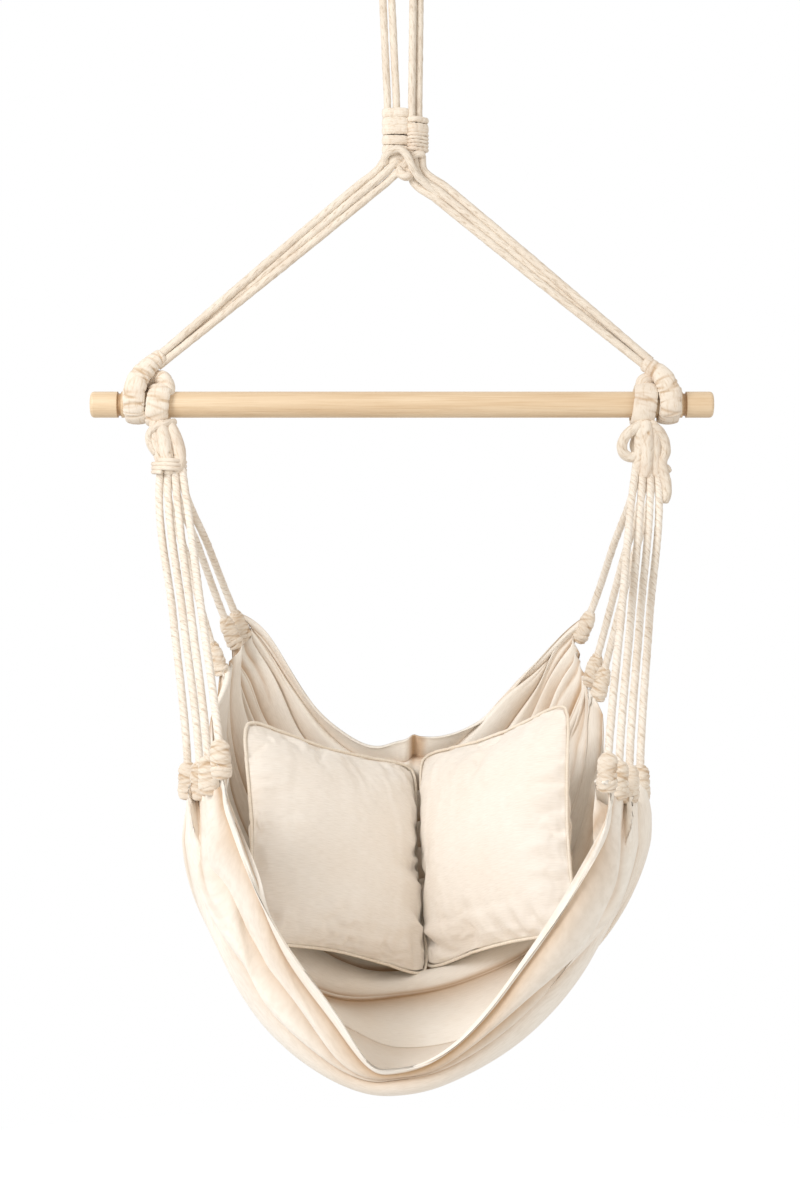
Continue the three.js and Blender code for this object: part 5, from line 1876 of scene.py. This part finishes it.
@dataclass
class Pillow:
    """One loose pillow: a square cover with a piped seam, blown up by its filling."""

    side: Side
    across: float
    yaw: float
    recline: float
    roll: float
    fall: float
    seed: int
    pleats: tuple[tuple[float, float, float, float, float], ...]
    size: float = 0.362
    slant: float = 0.0
    thickness: float = 0.112
    draw_in: float = 0.015
    piping: float = 0.005
    steps: int = 60
    start: tuple[float, float] = (0.0035, -1.495)
    slope: float = 0.45
    settled: float = 0.0003
    frames: int = 36
    unblown: Triple = (1.06, 0.10, 1.06)
    unevenness: float = 0.0006
    rim_moves: Triple = (1, 0.6, 1)
    rim_share: float = 0.92
    pleat_gain: float = 1.5
    pleat_bend: float = 0.10
    pleat_width: float = 0.005
    pleat_widening: float = 0.009

    def pose(self, points: Array) -> Array:
        """Lays the pillow into the seat.

        It turns about its own upright, tips back, turns on its face, and moves down the slope of the seat's
        back.

        Args:
            points: in the pillow's own frame.

        Returns:
            The points in the seat.
        """
        cy, sy = math.cos(self.yaw), math.sin(self.yaw)
        cx, sx = math.cos(-self.recline), math.sin(-self.recline)
        cr, sr = math.cos(self.roll), math.sin(self.roll)
        turn_z = np.array([[cy, -sy, 0], [sy, cy, 0], [0, 0, 1]])
        turn_x = np.array([[1, 0, 0], [0, cx, -sx], [0, sx, cx]])
        turn_y = np.array([[cr, 0, sr], [0, 1, 0], [-sr, 0, cr]])
        start = np.array([self.across, *self.start])
        down = unit(np.array([0, self.slope, -1.0]))
        return points @ (turn_z @ turn_x @ turn_y).T + start + down * (self.fall - self.settled)

    def plain(self) -> tuple[Array, Array, Array]:
        """The pillow's plain shape, both faces on one grid.

        With a and b from -1 to 1, the outline is the curve a^8 + b^8 = 1, pulled in by draw_in * (1 - b^2),
        and each face stands out by half the thickness times ((1 - a^2) * (1 - b^2))^0.5. The left side is
        slanted outwards at its top.

        Returns:
            The points, the faces of four corners, and the rim's points in order.
        """
        n = self.steps
        even = np.linspace(-1, 1, n + 1)
        a, b = np.meshgrid(even, even, indexing="ij")
        pull = self.draw_in / (self.size / 2)
        round_off = np.maximum(np.abs(a), np.abs(b)) / np.maximum(a**8 + b**8, 1e-12) ** 0.125
        round_off[n // 2, n // 2] = 1
        x = self.size / 2 * a * round_off * (1 - pull * (1 - b * b)) - self.slant * (1 - a) / 2 * b
        z = self.size / 2 * b * round_off * (1 - pull * (1 - a * a))
        crown = self.thickness / 2 * ((1 - a * a) * (1 - b * b)) ** 0.5
        front = np.stack([x, -crown, z], -1)
        index = np.arange((n + 1) ** 2).reshape(n + 1, n + 1)
        inner = np.zeros_like(index, bool)
        inner[1:-1, 1:-1] = True
        back = index.copy()
        back[inner] = (n + 1) ** 2 + np.arange(inner.sum())
        points = np.concatenate([front.reshape(-1, 3), np.stack([x, crown, z], -1)[inner]])
        quads = [
            np.stack(
                [g[:-1, :-1], g[1:, :-1], g[1:, 1:], g[:-1, 1:]][:: 1 if flip else -1], -1
            ).reshape(-1, 4)
            for g, flip in ((index, True), (back, False))
        ]
        rim = np.concatenate([index[:-1, 0], index[-1, :-1], index[:0:-1, -1], index[0, :0:-1]])
        return points, np.concatenate(quads), rim

    def blown(self, points: Array, quads: Array) -> Array:
        """Blows the cover up from flat with Blender's cloth, and scales it to the pillow's sizes.

        Args:
            points: of the plain shape.
            quads: its faces.

        Returns:
            The points of the blown cover.
        """
        rng = np.random.default_rng(self.seed)
        flat = points * self.unblown
        flat[:, 1] += rng.normal(0, self.unevenness, len(flat))
        mesh = bpy.data.meshes.new("blown_cover")
        mesh.from_pydata(flat.tolist(), [], quads.tolist())
        trial = bpy.data.objects.new("blown_cover", mesh)
        bpy.context.scene.collection.objects.link(trial)
        cloth = trial.modifiers.new("cloth", "CLOTH")
        settings = cloth.settings
        settings.quality = 7
        settings.mass = 0.25
        settings.tension_stiffness = settings.compression_stiffness = 22
        settings.shear_stiffness = 9
        settings.bending_stiffness = 0.25
        settings.air_damping = 2
        settings.use_pressure = True
        settings.uniform_pressure_force = 9
        settings.effector_weights.gravity = 0
        cloth.point_cache.frame_start, cloth.point_cache.frame_end = 1, self.frames
        scene = bpy.context.scene
        for frame in range(1, self.frames + 1):
            scene.frame_set(frame)
        graph = bpy.context.evaluated_depsgraph_get()
        result = trial.evaluated_get(graph).data
        found = np.empty(len(points) * 3, np.float32)
        result.vertices.foreach_get("co", found)
        bpy.data.objects.remove(trial)
        bpy.data.meshes.remove(mesh)
        scene.frame_set(1)
        found = self.squared(found.reshape(-1, 3).astype(float), points)
        found -= (found.max(0) + found.min(0)) / 2
        sizes = found.max(0) - found.min(0)
        log.info("pillow_%s blown to %s", self.side.label, np.round(sizes, 3))
        return found * ([self.size, self.thickness, self.size] / sizes)

    def pleated(self, points: Array) -> Array:
        """Presses the pleats into the front face.

        A pleat starts at a place across and up, in halves of the pillow, and runs at an angle in degrees for
        a length. Its depth is 1.5 * deep * exp(-(q / w)^2), where q is the distance from its line and w grows
        from 5 to 14 millimetres along it, with a ridge of half the height beside it. It fades out along its
        length.

        Args:
            points: of the cover.

        Returns:
            The points with the pleats.
        """
        half = self.size / 2
        shape = points.copy()
        in_front = ease(-points[:, 1], 0.0, 0.012)
        for across, up, angle, length, deep in self.pleats:
            way = np.array([math.cos(math.radians(angle)), math.sin(math.radians(angle))])
            off = points[:, [0, 2]] / half - [across, up]
            u = off @ way
            q = (off @ np.array([-way[1], way[0]]) - self.pleat_bend * u * u) * half
            w = self.pleat_width + self.pleat_widening * np.clip(u / length, 0, 1)
            fade = ease(u, -0.06, 0.04) * (1 - ease(u, 0.25 * length, length))
            press = np.exp(-((q / w) ** 2)) - 0.5 * np.exp(-(((q - 1.9 * w) / (1.1 * w)) ** 2))
            shape[:, 1] += self.pleat_gain * deep * fade * press * in_front
        return shape

    def squared(self, found: Array, plain: Array) -> Array:
        """Brings the rim of the blown cover back to the plain outline and keeps its puffs and wrinkles.

        The rim's own move is spread over each face as a Coons patch: the blends between opposite sides, less
        the blend between the corners.

        Args:
            found: points of the blown cover.
            plain: points of the plain shape.

        Returns:
            The points, brought back.
        """
        n = self.steps + 1
        move = (plain[: n * n] - found[: n * n]) * self.rim_moves
        move = move.reshape(n, n, 3)
        a = np.linspace(0, 1, n)[:, None, None]
        b = np.linspace(0, 1, n)[None, :, None]
        left, right, low, high = move[:1], move[-1:], move[:, :1], move[:, -1:]
        corners = (1 - a) * ((1 - b) * move[0, 0] + b * move[0, -1]) + a * (
            (1 - b) * move[-1, 0] + b * move[-1, -1]
        )
        patch = (1 - a) * left + a * right + (1 - b) * low + b * high - corners
        return found + self.rim_share * np.concatenate(
            [patch.reshape(-1, 3), patch[1:-1, 1:-1].reshape(-1, 3)]
        )

    def build(self, finishes: Finishes) -> None:
        """Builds the cover and its piping.

        Args:
            finishes: the chair's finishes.
        """
        points, quads, rim = self.plain()
        points = self.blown(points, quads)
        points = self.pleated(points)
        place = points[:, [0, 2]]
        skin = Skin(self.pose(points), [quads], [place[quads]])
        name = f"pillow_{self.side.label}"
        cover = make_piece(
            f"{name}_case", skin, finishes.pillow, name, "pillow_canvas", f"{name}_cover", f"{name}_insert"
        )
        smooth = cover.modifiers.new("smooth", "SUBSURF")
        smooth.levels = smooth.render_levels = 1
        outline = points[rim]
        outwards = unit(outline * [1, 0, 1])
        path = self.pose(through(outline + outwards * 0.0022, 0.003, closed=True))
        middle = self.pose(np.zeros((1, 3)))
        hint = unit(path - middle)
        seam = tube(path, hint, self.piping / 2, self.piping / 2, 12, True)
        make_piece(f"{name}_seam", seam, finishes.piping, name, "pillow_piping", f"{name}_piping")


@dataclass
class Studio:
    """The camera, the lights and the pale floor."""

    lens: float = 67.18
    ambient: float = 0.68
    key_power: float = 84.0
    fill_power: float = 19.0
    floor_up: float = -2.45
    floor_radius: float = 2.3
    floor_corners: int = 64
    sensor: float = 36

    def camera(self) -> None:
        """The camera, which looks level along the depth of the chair."""
        data = bpy.data.cameras.new("camera")
        data.lens, data.sensor_width = self.lens, self.sensor
        camera = bpy.data.objects.new("camera", data)
        camera.location = (CAMERA_ACROSS, -CAMERA_DISTANCE, CAMERA_UP)
        camera.rotation_euler = (math.pi / 2, 0, 0)
        bpy.context.scene.collection.objects.link(camera)
        bpy.context.scene.camera = camera

    def lamp(self, name: str, place: tuple, aim: tuple, size: float, power: float, tint: tuple) -> None:
        """A square soft light that points at a place.

        Args:
            name: of the light.
            place: where it stands.
            aim: what it points at.
            size: of its side.
            power: in watts.
            tint: its colour.
        """
        data = bpy.data.lights.new(name, "AREA")
        data.shape, data.size, data.energy, data.color = "SQUARE", size, power, tint
        lamp = bpy.data.objects.new(name, data)
        lamp.location = place
        way = unit(np.array(aim, float) - np.array(place, float))
        flat = math.hypot(way[0], way[1])
        lamp.rotation_euler = (math.atan2(flat, -way[2]), 0, math.atan2(way[1], way[0]) - math.pi / 2)
        bpy.context.scene.collection.objects.link(lamp)

    def world(self) -> None:
        """Even pale light from all round, which the camera and clear reflections see as plain white."""
        world = bpy.data.worlds.new("studio")
        bpy.context.scene.world = world
        world.use_nodes = True
        nodes, links = world.node_tree.nodes, world.node_tree.links
        nodes.clear()
        rays = nodes.new("ShaderNodeLightPath")
        soft, white = nodes.new("ShaderNodeBackground"), nodes.new("ShaderNodeBackground")
        soft.inputs["Color"].default_value = (1.0, 0.965, 0.915, 1)
        soft.inputs["Strength"].default_value = self.ambient
        white.inputs["Color"].default_value = (1, 1, 1, 1)
        direct = nodes.new("ShaderNodeMath")
        direct.operation = "MAXIMUM"
        links.new(rays.outputs["Is Camera Ray"], direct.inputs[0])
        links.new(rays.outputs["Is Glossy Ray"], direct.inputs[1])
        clear = nodes.new("ShaderNodeMath")
        clear.operation = "MAXIMUM"
        links.new(direct.outputs[0], clear.inputs[0])
        links.new(rays.outputs["Is Transmission Ray"], clear.inputs[1])
        mix, out = nodes.new("ShaderNodeMixShader"), nodes.new("ShaderNodeOutputWorld")
        links.new(clear.outputs[0], mix.inputs[0])
        links.new(soft.outputs[0], mix.inputs[1])
        links.new(white.outputs[0], mix.inputs[2])
        links.new(mix.outputs[0], out.inputs[0])

    def floor(self) -> None:
        """A round pale floor, lifted to white for the camera where it is lit. It keeps the soft shadow."""
        a = np.linspace(0, 2 * np.pi, self.floor_corners + 1)[:-1]
        x, y = self.floor_radius * np.cos(a), self.floor_radius * np.sin(a)
        points = np.stack([x, y, np.full(self.floor_corners, self.floor_up)], -1)
        mesh = bpy.data.meshes.new("studio_floor")
        mesh.from_pydata(points.tolist(), [], [list(range(self.floor_corners))])
        floor = bpy.data.objects.new("studio_floor", mesh)
        bpy.context.scene.collection.objects.link(floor)
        bench = NodeBench("studio_floor_white")
        place = bench.add("ShaderNodeTexCoord").outputs["Object"]
        bench.join(
            bench.ramp(bench.noise(place, 3), (0.80, 0.80, 0.80, 1), (0.82, 0.82, 0.82, 1)), "Base Color"
        )
        bench.shader.inputs["Roughness"].default_value = 0.9
        rays = bench.add("ShaderNodeLightPath")
        lift = bench.maths("MULTIPLY", rays.outputs["Is Camera Ray"], 0.45)
        bench.shader.inputs["Emission Color"].default_value = (1, 1, 1, 1)
        bench.join(lift, "Emission Strength")
        mesh.materials.append(bench.material)

    def build(self) -> None:
        """Sets up the studio."""
        bpy.context.scene.view_settings.view_transform = "Standard"
        self.camera()
        self.world()
        self.floor()
        aim = (0.0, 0.0, -1.2)
        self.lamp("key_light", (-2.3, -2.6, 0.3), aim, 1.5, self.key_power, (0.985, 0.99, 1.0))
        self.lamp("fill_light", (2.6, -2.6, -0.6), aim, 2.2, self.fill_power, (1.0, 0.985, 0.96))


def main() -> None:
    """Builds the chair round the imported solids, from the ring down."""
    logging.basicConfig(level=logging.INFO, format="%(message)s")
    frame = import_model()
    log.info("bodies: %s", ", ".join(sorted(frame["bodies"])))
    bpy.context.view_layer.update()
    Studio().build()
    finishes = Finishes()
    ring = HangingRing()
    ring.build(finishes)
    HangerLoops(ring).build(finishes)
    ApexWraps().build(finishes)
    ApexKnot().build(finishes)
    Bridle().build(finishes)
    SpreaderBar().build(finishes)
    BarHitches().build(finishes)
    NeckTies().build(finishes)
    shape = SeatShape()
    SeatCords(shape).build(finishes)
    CordSleeves(shape).build(finishes)
    SeatCloth(shape).build(finishes)
    left = Pillow(
        Side.LEFT, across=-0.1035, yaw=0.79, recline=0.38, roll=0.28, fall=0.0164, seed=11, pleats=LEFT_PLEATS
    )
    left.build(finishes)
    right = Pillow(
        Side.RIGHT, across=0.1490, yaw=-0.92, recline=0.24, roll=-0.3, fall=-0.0018, seed=12,
        pleats=RIGHT_PLEATS, slant=0.006,
    )
    right.build(finishes)


if __name__ == "__main__":
    main()
